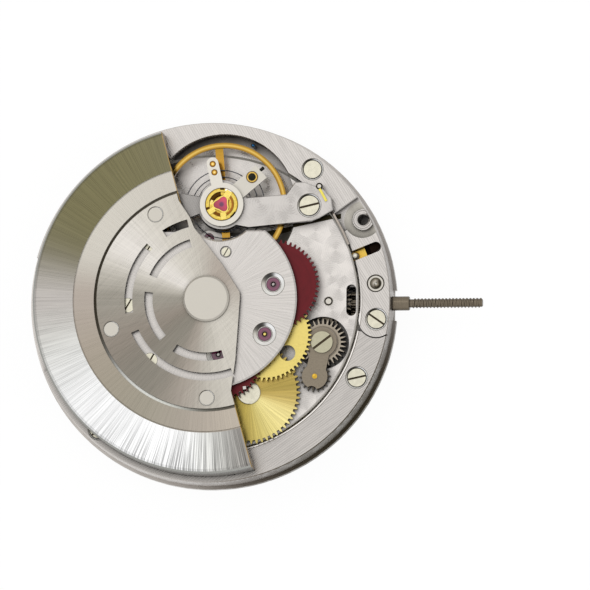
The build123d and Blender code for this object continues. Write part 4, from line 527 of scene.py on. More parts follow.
def colour(name, note, *shade):
    return FloatVectorProperty(
        name=name, description=note, subtype="COLOR", size=3, min=0.0, max=1.0, default=tone(*shade),
    )


def length(name, note, millimetres):
    return FloatProperty(
        name=name, description=note, default=millimetres * MM, min=0.0, unit="LENGTH", precision=5,
    )


def strength(name, note, value):
    return FloatProperty(name=name, description=note, default=value, min=0.0)


class MovementSettings(PropertyGroup):
    """Sizes and colours of the movement's finishes and small pieces."""

    plate_colour: colour("Plate", "Plates and bridges", 210, 205, 200)
    ring_colour: colour("Ring", "Rings round the edge", 200, 195, 190)
    red_colour: colour("Red", "Reversing wheels", 100, 30, 35)
    relay_colour: colour("Pale gilt", "Relay wheel", 225, 205, 120)
    ratchet_colour: colour("Gilt", "Ratchet wheel and other gilt wheels", 225, 200, 95)
    steel_colour: colour("Dark steel", "Crown wheel, idler wheel and yoke", 135, 125, 110)
    screw_colour: colour("Screw", "Screw heads", 220, 215, 195)
    ruby_colour: colour("Ruby", "Bearing stones", 130, 35, 75)
    cap_colour: colour("Cap stone", "Bearing stones of the balance", 210, 65, 95)
    date_colour: colour("Date ring", "Enamelled date ring", 240, 235, 230)
    stem_colour: colour("Stem", "Winding stem", 120, 110, 95)
    spot_size: length("Spot size", "Width of a polished spot on the bridges", 1.8)
    grain_pitch: length("Grain pitch", "Distance between scratches of the brushed grain", 0.11)
    thread_pitch: length("Thread pitch", "Rise of the stem's thread in one turn", 0.27)
    thread_depth: length("Thread depth", "Depth of the stem's thread", 0.075)
    wire_thickness: length("Wire thickness", "Thickness of the bent spring wire", 0.09)
    lamp_strength: strength("Lamp strength", "Light of the lamps", 1.0)
    room_light: strength("Room light", "Light of the room", 0.85)


# Plates, bridges and rings

def plate_touches(look, base):
    """Painted shade in a deep slot under the stop lever, a turned dish at the clamp, painted shadows round the
    balance.
    """
    x, y, z = look.split(look.place())
    low = z.near(2.0, 0.65)
    # Painted shade in the deep slot under the stop lever
    along, rise = STOP_SLOT_WAY
    across = (y - STOP_SLOT[1]) * along - (x - STOP_SLOT[0]) * rise
    slot = (abs(across) < 0.46) * look.disc(STOP_SLOT, 1.5) * low
    base = look.mix(slot, base, tone(35, 25, 20))
    base = look.mix(look.disc(CLAMP_HOLE, 1.5) * low, base, tone(190, 185, 175))
    # Painted shadow at the wall of the balance well, deepest to the upper left
    side, over, out = look.about(BALANCE_AXIS)[:3]
    well = out < WELL_RADIUS
    rim = look.spread(out, 0.0, 1.0, 4.3, 5.2) * look.spread(over - side, 0.15, 0.8, -2.0, 5.0)
    base = look.mix(rim * (z < 2.62) * well, base, tone(60, 50, 35))
    # Deep shadow in the gap below the balance bridge
    close = well * look.spread(y, 0.85, 0.0, 5.6, 5.9)
    fall = (x * -0.21 + y).near(4.62, 0.2) * (x > 2.0)
    return look.mix((z < 3.6) * (x < 10.1) * close.most(fall), base, tone(50, 45, 30))


def rims(look, base):
    """The turned outer wall with its painted light, and a soft grey bevel where the bridge meets the rings."""
    look.plain = look.about()[2].near(RING_INNER - 0.07, 0.09)
    return look.edged(look.mix(look.plain, base, tone(170, 165, 155)), PLATE_WALL)


def balance_bridge(shade, spot):
    """Spotted grain, with the short arm left darker and straight brushed."""
    look = Look("balance bridge")
    arm = look.about()[0] < -0.55
    grain = look.spots(spot, 0.2).toward(look.hatch(-60.0, 0.16), arm)
    return look.close(
        look.mix(arm, shade, scaled(shade, 0.6)), grain, 0.3, (0.88, 1.1), dark=(0.5, 0.5, 0.15),
        last=seated((BALANCE_SCREW, 0.81, 0.93)),
    )


def sunray(shade):
    """Fine even rays that spread over the automatic bridge from the hand axis."""
    look = Look("bridge rays")
    wave = (look.about()[3] * 170.0 + look.cloud(1.0) * 5.0).sine()
    grain = wave * 0.09 + look.rays(0.1, 5.0)
    return look.close(
        shade, grain, 0.3, (0.89, 1.06), dark=(0.45, 0.45, 0.2),
        last=seated(*((at, 0.61, 0.9) for at in STONE_AXES)),
    )


class MOVEMENT_OT_plates(Operator):
    """Finish the main plate, the bridges and the plates under them"""

    bl_idname = "movement.plates"
    bl_label = "Plates and Bridges"

    def execute(self, context):
        choice = context.scene.movement
        spot = choice.spot_size / MM
        pitch = choice.grain_pitch / MM
        shade = choice.plate_colour
        dress(grained(
            "spotted plate", shade, 0.15, 0.34, lambda look: look.spots(spot, 0.16),
            after=plate_touches, last=rims, dark=(0.85, 1.0, 0.2),
        ), "main_plate", "train_bridge")
        dress(balance_bridge(scaled(shade, 0.84), spot), "balance_bridge")
        dress(sunray(scaled(shade, 0.95)), "auto_bridge")
        dress(grained(
            "straight plate grain", scaled(shade, 0.85), 0.08, 0.33, lambda look: look.lines(35.0, pitch),
            dark=(0.6, 0.6, 0.4),
        ), "auto_lower_plate", "pallet_bridge", "date_guard_plate")
        return {"FINISHED"}


class MOVEMENT_OT_rings(Operator):
    """Finish the rings and the cover plate round the edge with a fine slanting grain"""

    bl_idname = "movement.rings"
    bl_label = "Edge Rings"

    def execute(self, context):
        choice = context.scene.movement
        shade = choice.ring_colour
        pitch = choice.grain_pitch / MM
        for name, turn, share, places in (
            ("upper_ring", -58.0, 1.0, ((UPPER_SCREW, 0.75, 0.87), (RING_CAP, 0.73, 0.85))),
            ("stem_cover_plate", -58.0, 1.0, ((COVER_SCREW, 0.75, 0.87), (PUSHER_AXIS, 0.62, 0.68))),
            ("lower_ring", 35.0, 0.87, ((EDGE_SCREW, 0.75, 0.87), (LOW_SCREW, 0.75, 0.87))),
        ):
            dress(grained(
                name.replace("_", " ") + " grain", scaled(shade, share), 0.12, 0.32,
                lambda look: look.hatch(turn, 1.5 * pitch),
                last=lambda look, base: look.lipped(look.edged(look.seats(base, places), RING_WALL)),
                dark=(0.6, 0.5, 0.35),
            ), name)
        return {"FINISHED"}


# Rotor

def weight():
    """Deep rays on the rim, shallow ones on the band, a painted sheen of light and dark against direction, a gilt
    cut face along the straight edge.
    """
    look = Look("rayed weight")
    x, y, out, turn = look.about()
    grain = look.rays(0.055, 12.0, 5.0) * 0.7 + look.rays(0.22, 12.0, 7.0) * 0.3
    # Painted sheen: tones against direction on the rim, the band and the groove, with painted highlights and painted
    # shade
    rim = look.painted_sheen((176, 180, 175, 170), (
        (-163, 205, 205, 200), (-145, 230, 230, 230), (-120, 245, 245, 245), (-100, 245, 245, 245),
        (-88, 215, 215, 210), (-76, 130, 125, 120), (0, 130, 125, 120), (104, 115, 110, 80), (146, 115, 110, 80),
        (158, 115, 110, 85), (166, 130, 125, 110),
    ))
    band = look.painted_sheen((174, 170, 160, 150), (
        (-150, 160, 150, 135), (-118, 155, 150, 135), (-95, 170, 160, 150), (-76, 190, 180, 165), (0, 180, 170, 160),
        (104, 190, 185, 175), (150, 200, 195, 185), (164, 190, 185, 175),
    ))
    groove = look.painted_sheen((172, 60, 55, 45), (
        (-150, 85, 80, 70), (-132, 245, 245, 240), (-108, 240, 240, 230), (-92, 85, 80, 70), (-70, 120, 115, 105),
        (100, 90, 85, 75), (135, 65, 60, 50),
    ))
    on_rim = out > RIM_START
    base = look.mix(on_rim, look.mix(out < BAND_START, band, groove), rim)
    # The rim's rays grow stronger in contrast toward its lower end
    lower = look.spread(y, 1.0, 0.0, -7.0, 3.0)
    lowest = look.spread(y, 1.0, 0.0, -13.0, -9.5)
    deep = look.spread(grain, 0.8, 1.12, 0.38, 0.6).toward(look.spread(grain, 0.45, 1.32, 0.42, 0.58), lowest)
    deep = look.spread(grain, 0.86, 1.11, 0.38, 0.6).toward(deep, lower)
    ribs = (turn * 172.0).sine().most(0.35) * lower
    shallow = ribs * -0.07 + look.spread(grain, 0.96, 1.07, 0.38, 0.62)
    base = look.tinted(base, shallow.toward(deep, on_rim))
    base = look.mix(out > WEIGHT_RADIUS - 0.13, base, tone(165, 165, 160))
    off = x * -sin(WEIGHT_EDGE) + y * cos(WEIGHT_EDGE)
    base = look.mix((abs(off) < 0.05) * (out > 7.3), base, tone(170, 140, 85))
    return look.close(base, grain, 0.3, spread=0.1, relief=0.3, dark=(0.35, 0.35, 0.5))


class MOVEMENT_OT_rotor(Operator):
    """Finish the rotor: rayed weight with a cut gilt edge, brushed hub plate, plain cap and rivets"""

    bl_idname = "movement.rotor"
    bl_label = "Rotor"

    def execute(self, context):
        dress(weight(), "rotor_weight")
        # Painted sheen on the hub plate, tones against direction
        dress(grained(
            "rotor plate grain", lambda look: look.painted_sheen((174, 150, 145, 135), (
                (-156, 140, 130, 120), (-138, 130, 125, 115), (-118, 135, 130, 120), (-104, 160, 150, 140),
                (-90, 180, 175, 165), (-72, 200, 195, 185), (-30, 200, 195, 185), (30, 165, 155, 145),
                (75, 165, 155, 145), (100, 190, 185, 175), (128, 200, 195, 185), (148, 220, 215, 210),
                (160, 195, 190, 180),
            )), 0.14, 0.3,
            lambda look: look.lines(45.0, 0.11, 3.0) * 0.45 + look.rays(0.08, 5.0, 4.0) * 0.55,
            last=seated(*((at, 0.55, 0.61) for at in RIVETS)), dark=(0.55, 0.35, 0.12), relief=0.3,
        ), "rotor_plate")
        dress(satin("rotor cap", tone(200, 195, 185), 0.4, 0.025, 0.3, dark=(0.35, 0.3, 0.4)),
              "rotor_hub", "rotor_rivets")
        return {"FINISHED"}


# Wheels

class MOVEMENT_OT_wheels(Operator):
    """Finish the red, gilt and steel wheels and the springs"""

    bl_idname = "movement.wheels"
    bl_label = "Wheels"

    def execute(self, context):
        choice = context.scene.movement
        gilt = choice.ratchet_colour
        dark = choice.steel_colour
        for index, centre in enumerate(REVERSER_AXES, 1):
            name = f"reversing_wheel_{index}"
            dress(grained(
                f"red {name}", choice.red_colour, 0.14, 0.42, lambda look: look.rings(centre, 0.2),
                metal=0.75, dark=(0.7, 0.35, 0.4),
            ), name)
        # Painted sheen on the ratchet wheel, tones against direction round the barrel axis
        dress(grained(
            "sunburst gilt", lambda look: look.painted_sheen((180, 170, 145, 70), (
                (-140, 170, 150, 75), (-105, 185, 165, 85), (-86, 185, 165, 90), (-68, 210, 195, 120),
                (-44, 235, 220, 150), (-26, 235, 220, 150), (-10, 190, 165, 95), (12, 170, 150, 80),
                (34, 180, 155, 85), (50, 205, 180, 100), (95, 150, 125, 60), (140, 135, 110, 50),
            ), BARREL_AXIS), 0.17, 0.28, lambda look: look.rays(0.07, 2.6, 5.0, BARREL_AXIS),
        ), "ratchet_wheel")
        # Dark teeth round a paler turned ring
        dress(grained(
            "crown wheel steel", lambda look: look.turned(CROWN_AXIS, (
                (0.9, 150, 140, 130), (1.15, 190, 180, 170), (1.22, 120, 110, 95), (1.32, 160, 150, 135),
                (1.6, 165, 155, 140),
            )), 0.1, 0.3, lambda look: look.rings(CROWN_AXIS, 0.1), dark=(0.65, 0.3, 0.3),
        ), "crown_wheel")
        for name, shade, rough, contrast, grit, shadow, *nodes in (
            ("pale gilt", choice.relay_colour, 0.34, 0.05, 0.2, (0.55, 0.35, 0.4), "relay_wheel"),
            ("dark pinion", scaled(dark, 0.75), 0.3, 0.1, 0.2, (0.6, 0.3, 0.3), "winding_pinion", "transfer_wheel"),
            ("train gilt", gilt, 0.32, 0.06, 0.12, (0.55, 0.7, 0.4), "great_wheel", "third_wheel", "seconds_wheel",
             "barrel_drum"),
            ("dark steel", dark, 0.34, 0.08, 0.12, (0.5, 0.3, 0.5), "crown_yoke"),
            ("idler steel", scaled(dark, 0.4), 0.3, 0.1, 0.12, (0.6, 0.3, 0.3), "idler_wheel"),
            ("bright steel", tone(175, 170, 165), 0.24, 0.06, 0.12, (0.5, 0.3, 0.4), "reversing_pinion_1",
             "reversing_pinion_2", "escape_wheel", "pallet_fork", "balance_staff", "barrel_arbor",
             "sliding_pinion", "click"),
            ("spring steel", tone(90, 90, 95), 0.26, 0.06, 0.12, (0.4, 0.3, 0.7), "mainspring", "hairspring",
             "click_spring"),
        ):
            dress(satin(name, shade, rough, contrast, grit, dark=shadow), *nodes)
        return {"FINISHED"}


# Balance

def setting():
    """Turned gilt block with painted shade in the pockets between the legs of its spring, and painted glints."""
    look = Look("shock setting gilt")
    out, turn = look.about(BALANCE_AXIS)[2:]
    base = look.turned(BALANCE_AXIS, (
        (0.0, 215, 180, 80), (0.66, 215, 180, 80), (0.93, 225, 195, 90), (0.97, 150, 110, 40),
        (1.01, 230, 205, 105), (1.18, 225, 195, 90), (1.27, 150, 115, 40),
    ))
    # Painted shade in the pockets and painted glints, each a patch by direction and distance
    for middle, half, low, high, *shade in (
        (130, 36, 0.64, 1.0, 75, 50, 15), (-8, 55, 0.78, 0.93, 165, 105, 45),
        (-122, 26, 0.7, 0.95, 120, 75, 25), (170, 14, 0.7, 0.9, 250, 225, 140),
        (-42, 13, 1.16, 1.3, 50, 40, 15), (88, 8, 1.12, 1.3, 60, 45, 15), (64, 12, 1.1, 1.3, 255, 250, 245),
        (-164, 5, 0.98, 1.3, 80, 50, 15),
    ):
        painted_patch = turn.near(radians(middle), radians(half)) * out.near((low + high) / 2, (high - low) / 2)
        base = look.mix(painted_patch, base, tone(*shade))
    grain = look.noise(look.place(size=(0.16, 0.16, 0.5)))
    return look.close(base, grain, 0.16, (0.9, 1.08), dark=(0.3, 0.2, 0.5))


def regulator():
    """Frosted arm with gilt pins at its far end, each pin with a painted highlight in the middle and painted shade
    at its edge.
    """
    look = Look("regulator with gilt pins")
    base = tone(215, 210, 200)
    for at in REGULATOR_PINS:
        # Painted highlight and painted shade across each pin
        base = look.mix(look.disc(at, 0.245), base, look.turned(at, (
            (0.0, 255, 240, 175), (0.07, 240, 200, 105), (0.15, 180, 130, 50), (0.2, 110, 75, 25),
            (0.25, 95, 65, 25),
        )))
    return look.close(base, look.cloud(0.1, 3.0), 0.36, dark=(0.5, 0.3, 0.35))


class MOVEMENT_OT_balance(Operator):
    """Finish the balance wheel, the regulator, the stud carrier and the shock setting"""

    bl_idname = "movement.balance"
    bl_label = "Balance"

    def execute(self, context):
        # Gold with a painted highlight along the middle of the rim and painted shade at its edges
        dress(grained(
            "balance gold", lambda look: look.turned(BALANCE_AXIS, (
                (0.6, 180, 140, 55), (3.6, 190, 145, 60), (4.5, 175, 135, 50), (4.56, 140, 105, 40),
                (4.66, 185, 145, 65), (4.76, 220, 185, 100), (4.84, 185, 145, 60), (4.93, 155, 120, 50),
                (5.0, 140, 105, 40),
            )), 0.06, 0.2, lambda look: look.rings(BALANCE_AXIS, 0.1), dark=(0.55, 0.35, 0.35),
        ), "balance_wheel")
        dress(setting(), "shock_setting")
        dress(satin("frosted steel", tone(205, 200, 190), 0.4, 0.03, 0.1, dark=(0.5, 0.3, 0.35)),
              "stud_carrier")
        dress(regulator(), "regulator_arm")
        return {"FINISHED"}


# Fasteners and stones

def heads(shade):
    """Polished heads with painted shade in their slots, yellower over the crown wheel."""
    look = Look("screw head")
    grain = look.cloud(0.3)
    base = look.tinted(shade, look.spread(grain, 0.93, 1.03))
    base = look.mix(look.disc(CROWN_AXIS, 1.0), base, tone(185, 180, 155))
    height = look.split(look.place())[2]
    # Painted shade on the floors of the slots
    for floor in SLOT_FLOORS:
        base = look.mix(height.near(floor, 0.02), base, tone(75, 65, 50))
    return look.close(base, grain, 0.22, dark=(0.55, 0.26, 0.2))


def stop_lever():
    """Brass lever with a steel pin, the pin with a painted highlight in the middle and painted shade toward its
    edge.
    """
    look = Look("stop lever brass")
    # Painted highlight on the pin, painted shade toward its rim
    base = look.turned(STOP_PIVOT, (
        (0.0, 240, 235, 220), (0.14, 190, 185, 170), (0.24, 120, 110, 95), (0.27, 60, 50, 25), (0.3, 150, 115, 40),
        (0.36, 215, 175, 75), (0.9, 225, 190, 90),
    ))
    return look.close(base, look.lines(22.0, 0.1), 0.22, (0.9, 1.08))


def pusher():
    """Dished steel button with painted light and shade: a bright lip, a dark wall, a bright bottom with a dark
    crescent.
    """
    look = Look("pusher steel")
    x, y, out = look.about(PUSHER_AXIS)[:3]
    base = look.turned(PUSHER_AXIS, (
        (0.0, 235, 230, 225), (0.16, 215, 210, 195), (0.26, 150, 140, 130), (0.36, 95, 90, 75), (0.44, 70, 65, 55),
        (0.47, 200, 195, 185), (0.56, 215, 210, 200), (0.62, 95, 90, 80),
    ))
    # Painted light across the bottom: brighter to the upper left, darker to the lower right
    side = look.spread(x - y, 1.25, 0.55, -0.35, 0.35)
    base = look.tinted(base, (side - 1.0) * (out < 0.42) + 1.0)
    return look.close(base, look.rings(PUSHER_AXIS, 0.08), 0.18, dark=(0.4, 0.3, 0.5))


def pins():
    """Bright steel; two of the pins show a dark turned ring."""
    look = Look("pin steel")
    base = tone(205, 200, 190)
    for at, start, end in RINGED_PINS:
        out = look.about(at)[2]
        base = look.mix((out > start) * (out < end), base, tone(40, 35, 30))
    return look.close(base, look.cloud(0.2), 0.24, dark=(0.8, 0.35, 0.35))


def polished(look, base, **more):
    """A jewel of a tone, faintly clouded."""
    return look.close(base, look.cloud(0.3), 0.08, spread=0.02, metal=0.0, relief=0.05, coat=0.3, **more)


def stones(ruby, cap):
    """Dark ruby with a pale bore, pinker over the balance."""
    look = Look("bearing stones")
    base = look.mix(look.disc(BALANCE_AXIS, 1.0), ruby, cap)
    for at in STONE_AXES:
        base = look.mix(look.disc(at, STONE_RADIUS), base, look.turned(at, (
            (0.0, 205, 180, 190), (0.1, 175, 100, 135), (0.16, 60, 15, 35), (0.24, 85, 20, 50),
            (0.38, 125, 45, 85), (0.48, 105, 35, 70), (0.54, 65, 20, 45), (0.56, 60, 15, 35),
        )))
    look.shader.inputs["IOR"].default_value = 1.76
    return polished(look, base, tints=(0.9, 1.12), dark=(0.6, 0.25, 0.6))


class MOVEMENT_OT_fasteners(Operator):
    """Finish the screws, pins, rubies and the small steel fittings"""

    bl_idname = "movement.fasteners"
    bl_label = "Fasteners and Stones"

    def execute(self, context):
        choice = context.scene.movement
        dress(heads(choice.screw_colour), "screws", "ratchet_screw")
        dress(stop_lever(), "stop_lever")
        dress(pins(), "pins")
        dress(pusher(), "release_pusher")
        dress(stones(choice.ruby_colour, choice.cap_colour), "jewels")
        return {"FINISHED"}


# Dial side

def enamel(shade):
    """White enamel with a thin grey line between the days."""
    look = Look("date enamel")
    cloud = look.cloud(0.8, 3.0)
    saw = abs((look.about()[3] * (DAYS / FULL_TURN) + 40.0).fraction() - 0.5)
    base = look.mix(look.spread(cloud, 0.0, 1.0), scaled(shade, 0.95), shade)
    base = look.mix(saw < 0.02, base, tone(150, 150, 140))
    return look.close(base, cloud, 0.35, spread=0.05, metal=0.0, relief=0.1, dark=(0.4, 0.4, 0.4), coat=0.3)


class MOVEMENT_OT_dial_side(Operator):
    """Finish the pieces on the dial side: date ring, motion wheels and keyless works"""

    bl_idname = "movement.dial_side"
    bl_label = "Dial Side"

    def execute(self, context):
        choice = context.scene.movement
        dress(enamel(choice.date_colour), "date_ring")
        dress(grained(
            "dial side gilt", scaled(choice.ratchet_colour, 0.95), 0.07, 0.3,
            lambda look: look.rings(HAND_AXIS, 0.16), dark=(0.5, 0.3, 0.4),
        ), "hour_wheel", "date_idler", "date_driving_wheel")
        dress(grained(
            "brushed keyless steel", tone(170, 165, 160), 0.07, 0.28, lambda look: look.lines(20.0, 0.09),
            dark=(0.55, 0.3, 0.4),
        ), "cannon_pinion", "minute_wheel", "setting_wheel_1", "setting_wheel_2", "setting_lever", "setting_yoke",
            "date_jumper")
        return {"FINISHED"}


# Stem

def stem_thread(pitch, depth, material):
    """The thread's ridge, a profile swept along a helix by Geometry Nodes."""
    tree = bpy.data.node_groups.new("stem thread", "GeometryNodeTree")
    nodes = Nodes(tree)
    tree.interface.new_socket("Geometry", in_out="OUTPUT", socket_type="NodeSocketGeometry")
    for name in ("Length", "Pitch", "Crest Radius", "Depth"):
        tree.interface.new_socket(name, in_out="INPUT", socket_type="NodeSocketFloat")
    given = nodes.node("NodeGroupInput").outputs
    radius = nodes.math("SUBTRACT", given["Crest Radius"], given["Depth"])
    helix = nodes.node("GeometryNodeCurveSpiral", {
        "Resolution": 28, "Rotations": nodes.math("DIVIDE", given["Length"], given["Pitch"]),
        "Start Radius": radius, "End Radius": radius, "Height": given["Length"],
    })
    tooth = nodes.node("GeometryNodeCurvePrimitiveCircle", {"Resolution": 6, "Radius": given["Depth"]})
    swept = nodes.node("GeometryNodeCurveToMesh", {
        "Fill Caps": True, "Curve": helix.outputs[0], "Profile Curve": tooth.outputs[0],
    })
    laid = nodes.node("GeometryNodeTransform", {
        0: swept.outputs[0], "Rotation": (0.0, radians(90), 0.0),
        "Translation": (THREAD_START * MM, 0.0, STEM_HEIGHT * MM),
    })
    real = nodes.node("GeometryNodeRealizeInstances", {0: laid.outputs[0]})
    paint = nodes.node("GeometryNodeSetMaterial", {0: real.outputs[0], "Material": material})
    nodes.node("NodeGroupOutput", {0: paint.outputs[0]})
    sizes = {"Length": THREAD_LENGTH * MM, "Pitch": pitch, "Crest Radius": THREAD_CREST * MM, "Depth": depth}
    return grown("stem_thread", tree, sizes)


class MOVEMENT_OT_stem(Operator):
    """Build the winding stem with its real thread in place of the plain one"""

    bl_idname = "movement.stem"
    bl_label = "Winding Stem"

    def execute(self, context):
        choice = context.scene.movement
        steel = grained(
            "stem steel", choice.stem_colour, 0.12, 0.26,
            lambda look: look.noise(look.place(size=(0.1, 0.6, 0.6)), 3.0), dark=(0.75, 0.2, 0.4),
        )
        core = THREAD_CREST - choice.thread_depth / MM
        profile = (
            (8.35, 0.14), (8.43, 0.22), (8.75, 0.22), (8.75, 0.24), (10.88, 0.24), (10.88, 0.55),
            (12.3, 0.55), (12.3, 0.23), (12.8, 0.23), (12.8, 0.55), (13.98, 0.55), (14.02, 0.51),
            (14.08, 0.51), (14.12, 0.55), (15.34, 0.55), (15.4, 0.49), (15.4, 0.32),
            (15.62, 0.32), (15.66, core), (21.04, core), (21.1, core - 0.06),
        )

        def build(work):
            turned(work, profile, (0.0, 0.0, STEM_HEIGHT), (1.0, 0.0, 0.0))
            # Square shank that drives the sliding pinion
            block(work, (9.815, 0.0, STEM_HEIGHT), (2.13, 0.52, 0.52))

        stem = new_piece("stem_core", mesh_from("stem_core", build), steel, "stem")
        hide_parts("winding_stem")
        ridge = stem_thread(choice.thread_pitch, choice.thread_depth, steel)
        new_piece("stem_thread", ridge, steel, "stem")
        return {"FINISHED"}


class MOVEMENT_OT_springs(Operator):
    """Build the bent wire spring and the brass blade beside the balance bridge screw"""

    bl_idname = "movement.springs"
    bl_label = "Wire Spring and Blade"

    def execute(self, context):
        thickness = context.scene.movement.wire_thickness / MM
        steel = satin("wire steel", tone(170, 160, 150), 0.2, 0.05, dark=(0.55, 0.7, 0.3))
        brass = satin("blade brass", tone(235, 220, 105), 0.25, 0.06, dark=(0.2, 0.7, 0.5))
        for name, material, slot, width, height, points in (
            ("wire_spring", steel, "steel", 1.6 * thickness, thickness, (
                (9.02, 7.63, 3.2), (9.5, 7.0, 3.42), (9.92, 6.25, 3.46), (10.25, 5.65, 3.46),
                (10.47, 5.2, 3.46), (10.82, 4.41, 3.42),
            )),
            ("brass_blade", brass, "gilt", 0.19, 0.06, (
                (8.6, 8.68, 4.14), (8.78, 8.38, 4.13), (8.96, 8.05, 4.12), (9.14, 7.72, 4.11),
            )),
        ):
            mesh = mesh_from(name, lambda work: strip(work, smooth_path(points), width, height))
            new_piece(name, mesh, material, "frame")
        return {"FINISHED"}


# Fittings

def collar_brass():
    """Dark brass collar with a painted highlight along one lip."""
    look = Look("collar brass")
    # Painted highlight on the lip
    base = look.turned(STUD_AXIS, (
        (0.26, 70, 50, 25), (0.32, 220, 185, 105), (0.38, 205, 170, 85), (0.42, 100, 70, 35), (0.46, 85, 60, 30),
    ))
    return look.close(base, look.cloud(0.15), 0.22, (0.85, 1.1), dark=(0.3, 0.7, 0.6))


def cap_ruby():
    """Pink stone, dark over its bore, with painted light brighter to the upper right."""
    look = Look("cap stone")
    x, y = look.about(BALANCE_AXIS)[:2]
    base = look.turned(BALANCE_AXIS, (
        (0.0, 115, 60, 95), (0.14, 125, 60, 95), (0.2, 180, 70, 110), (0.26, 205, 70, 100), (0.66, 215, 70, 95),
    ))
    # Painted light: brighter to the upper right
    base = look.tinted(base, look.spread(x + y, 0.7, 1.2, -0.5, 0.5))
    return polished(look, base, dark=(0.5, 0.12, 0.6))


def lobed(turn, height, inward=0.0):
    """A point on the three-lobed outline of the cap jewel's spring."""
    out = 0.57 + 0.1 * cos(3 * (turn - radians(65))) - inward
    return around(BALANCE_AXIS, turn, out, height)


def lyre(work):
    """Three-lobed spring that holds the cap jewel down, with three broad legs."""
    strip(work, [lobed(turn, LYRE_HEIGHT) for turn in (*turns(72), FULL_TURN)], 0.085, 0.05)
    for way, width in ((58, 0.5), (213, 0.4), (-80, 0.42)):
        leg = [around(BALANCE_AXIS, radians(way), out, LYRE_HEIGHT) for out in (0.64, 0.9, 1.2)]
        strip(work, leg, width, 0.03)


def cap_stone(work):
    """Flat cap jewel that fills the lobes of the spring."""
    skin(work, [[lobed(turn, height, 0.01) for turn in turns(72)] for height in (4.4, 4.458)])


def boss(work):
    """Turned seat round the clamp hole, cut back to the edge of the plate."""
    rings = []
    for height, radius in (
        (2.6, 0.44), (2.92, 0.44), (3.03, 0.58), (3.03, 0.66), (3.0, 0.68), (3.0, 0.72), (3.03, 0.74),
        (3.03, 0.8), (3.0, 0.83), (2.6, 0.83),
    ):
        spots = [Vector(around(CLAMP_HOLE, turn, radius)) for turn in turns(56)]
        rings.append([(*(spot * min(RING_WALL / spot.length, 1.0)), height) for spot in spots])
    skin(work, rings, looped=True)


def spun(start, *profile, way=UP):
    """A builder of a small turned piece."""
    return lambda work: turned(work, profile, start, way, 40)


def wheel_key(work):
    """Small square end of a pin in the second reversing wheel."""
    block(work, (2.93, -6.86, 4.505), (0.24, 0.24, 0.05), 8)


class MOVEMENT_OT_fittings(Operator):
    """Build the small fittings: clamp boss, pins, stud parts, wheel key, cap stone and its spring"""

    bl_idname = "movement.fittings"
    bl_label = "Small Fittings"

    def execute(self, context):
        bright = satin("turned steel", tone(205, 200, 195), 0.24, 0.05, dark=(0.7, 0.4, 0.35))
        black = satin("black oxide", tone(40, 40, 35), 0.3, 0.08, dark=(0.3, 0.7, 0.8))
        blue = satin("blued pin", tone(45, 90, 130), 0.2, 0.06, dark=(0.3, 0.7, 0.6))
        gilt = satin("pin gilt", tone(210, 170, 65), 0.2, 0.06, dark=(0.3, 0.7, 0.5))
        lyre_gilt = satin("lyre gilt", tone(240, 215, 115), 0.2, 0.06, dark=(0.3, 0.12, 0.55))
        stud_way = around(HAND_AXIS, radians(40), 1.0, 0.0)
        for name, build, material, slot, body in (
            ("clamp_boss", boss, bright, "ring", "frame"),
            ("blue_pin", spun(BLUE_PIN, (1.72, 0.14), (2.96, 0.14), (3.02, 0.08)), blue, "blue", "frame"),
            ("idler_pin_cap", spun(IDLER_AXIS, (3.78, 0.2), (3.84, 0.2), (3.87, 0.14)), gilt, "gilt", "frame"),
            ("stud_collar", spun(STUD_AXIS, (4.22, 0.46), (4.28, 0.46), (4.31, 0.41), (4.31, 0.3), (4.26, 0.28)),
             collar_brass(), "gilt", "stud"),
            ("lyre_spring", lyre, lyre_gilt, "gilt", "frame"),
            ("cap_stone", cap_stone, cap_ruby(), "ruby", "frame"),
            ("stud_screw", spun(STUD_AXIS, (4.24, 0.27), (4.28, 0.27), (4.3, 0.22)), black, "steel", "stud"),
            ("wheel_key", wheel_key, bright, "steel", "reversing_wheel_2"),
            ("stud_block", spun((3.96, 10.14, 4.16), (0.0, 0.13), (0.34, 0.13), (0.38, 0.1), way=stud_way),
             black, "steel", "stud"),
        ):
            new_piece(name, mesh_from(name, build), material, body)
        return {"FINISHED"}


# Studio

def two_sided(nodes, output, light, backdrop, share=1.0):
    """Shows a backdrop to the camera, also in gloss or through glass, and a light to all else."""
    path = nodes.node("ShaderNodeLightPath").outputs
    seen = Value(nodes, path["Is Camera Ray"])
    for name in ("Is Glossy Ray", "Is Transmission Ray"):
        seen = seen.most(path[name])
    both = nodes.node("ShaderNodeMixShader", {0: seen * share, 1: light.outputs[0], 2: backdrop.outputs[0]})
    nodes.node(output, {0: both.outputs[0]})


def floor():
    """Pale floor at the foot of the part, nearly white to the camera."""
    low, half = cad_box[0][2], 1.2
    mesh = bpy.data.meshes.new("floor")
    mesh.from_pydata(
        [(-half, -half, low), (half, -half, low), (half, half, low), (-half, half, low)], [], [(0, 1, 2, 3)],
    )
    material = bpy.data.materials.new("pale floor")
    material.use_nodes = True
    nodes = Nodes(material.node_tree)
    paint = nodes.node("ShaderNodeBsdfDiffuse", {0: (0.92, 0.92, 0.92)})
    white = nodes.node("ShaderNodeEmission", {1: 1.03})
    two_sided(nodes, "ShaderNodeOutputMaterial", paint, white, 0.9)
    mesh.materials.append(material)
    add_object("floor", mesh)


def room(power):
    """White room, at full strength only to the camera."""
    world = bpy.data.worlds.new("room")
    bpy.context.scene.world = world
    world.use_nodes = True
    nodes = Nodes(world.node_tree)
    light, white = (
        nodes.node("ShaderNodeBackground", {0: (1.0, 1.0, 1.0), 1: level}) for level in (power, 1.0))
    two_sided(nodes, "ShaderNodeOutputWorld", light, white)


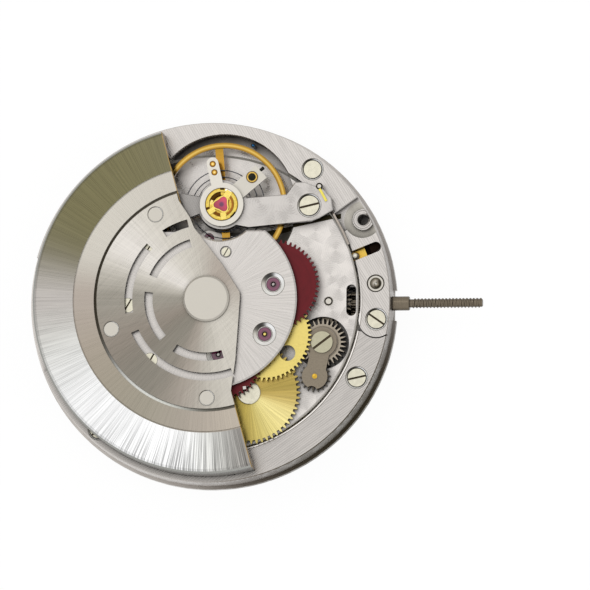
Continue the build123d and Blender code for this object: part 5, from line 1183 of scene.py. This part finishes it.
def lamp(name, place, size, power):
    data = bpy.data.lights.new(name, "AREA")
    data.shape = "DISK"
    data.size = size
    data.energy = power
    made = add_object(name, data)
    made.location = place
    made.rotation_euler = (-Vector(place)).to_track_quat("-Z", "Y").to_euler()


def camera():
    """Flat view from above, leaning to the lower right."""
    data = bpy.data.cameras.new("camera")
    data.type = "ORTHO"
    data.ortho_scale = 0.04568
    data.clip_start = 0.001
    data.clip_end = 2.0
    made = add_object("camera", data)
    right = Vector((0.991, 0.0089, -0.1327)).normalized()
    back = Vector((0.1327, -0.1327, 0.982)).normalized()
    up = back.cross(right).normalized()
    spot = Vector((6.2, 0.96, 0.0)) * MM + back * 0.2
    made.matrix_world = Matrix((*zip(right, up, back, spot), (0.0, 0.0, 0.0, 1.0)))
    bpy.context.scene.camera = made


class MOVEMENT_OT_studio(Operator):
    """Set the pale floor, the soft lamps, the white room and the camera"""

    bl_idname = "movement.studio"
    bl_label = "Studio"

    def execute(self, context):
        choice = context.scene.movement
        floor()
        room(choice.room_light)
        for name, place, size, power in (
            ("key", (-0.06, 0.09, 0.2), 0.12, 0.02), ("fill", (0.12, -0.05, 0.16), 0.1, 0.006),
            ("low", (0.02, -0.16, 0.06), 0.08, 0.004),
        ):
            lamp(name, place, size, power * choice.lamp_strength)
        camera()
        context.scene.view_settings.view_transform = "Standard"
        return {"FINISHED"}


class MOVEMENT_PT_panel(Panel):
    """Lists the movement's settings and steps"""

    bl_label = "Watch Movement"
    bl_space_type = "VIEW_3D"
    bl_region_type = "UI"
    bl_category = "Movement"

    def draw(self, context):
        column = self.layout.column()
        for name in MovementSettings.__annotations__:
            column.prop(context.scene.movement, name)
        for step in STEPS:
            column.operator(step.bl_idname)


STEPS = (
    MOVEMENT_OT_plates, MOVEMENT_OT_rings, MOVEMENT_OT_rotor, MOVEMENT_OT_wheels, MOVEMENT_OT_balance,
    MOVEMENT_OT_fasteners, MOVEMENT_OT_dial_side, MOVEMENT_OT_stem, MOVEMENT_OT_springs, MOVEMENT_OT_fittings,
    MOVEMENT_OT_studio,
)

add_classes, remove_classes = bpy.utils.register_classes_factory((MovementSettings, *STEPS, MOVEMENT_PT_panel))


def register():
    add_classes()
    bpy.types.Scene.movement = PointerProperty(type=MovementSettings)


def unregister():
    del bpy.types.Scene.movement
    remove_classes()


def main():
    register()
    for step in STEPS:
        getattr(bpy.ops.movement, step.bl_idname.partition(".")[2])()


if __name__ == "__main__":
    main()
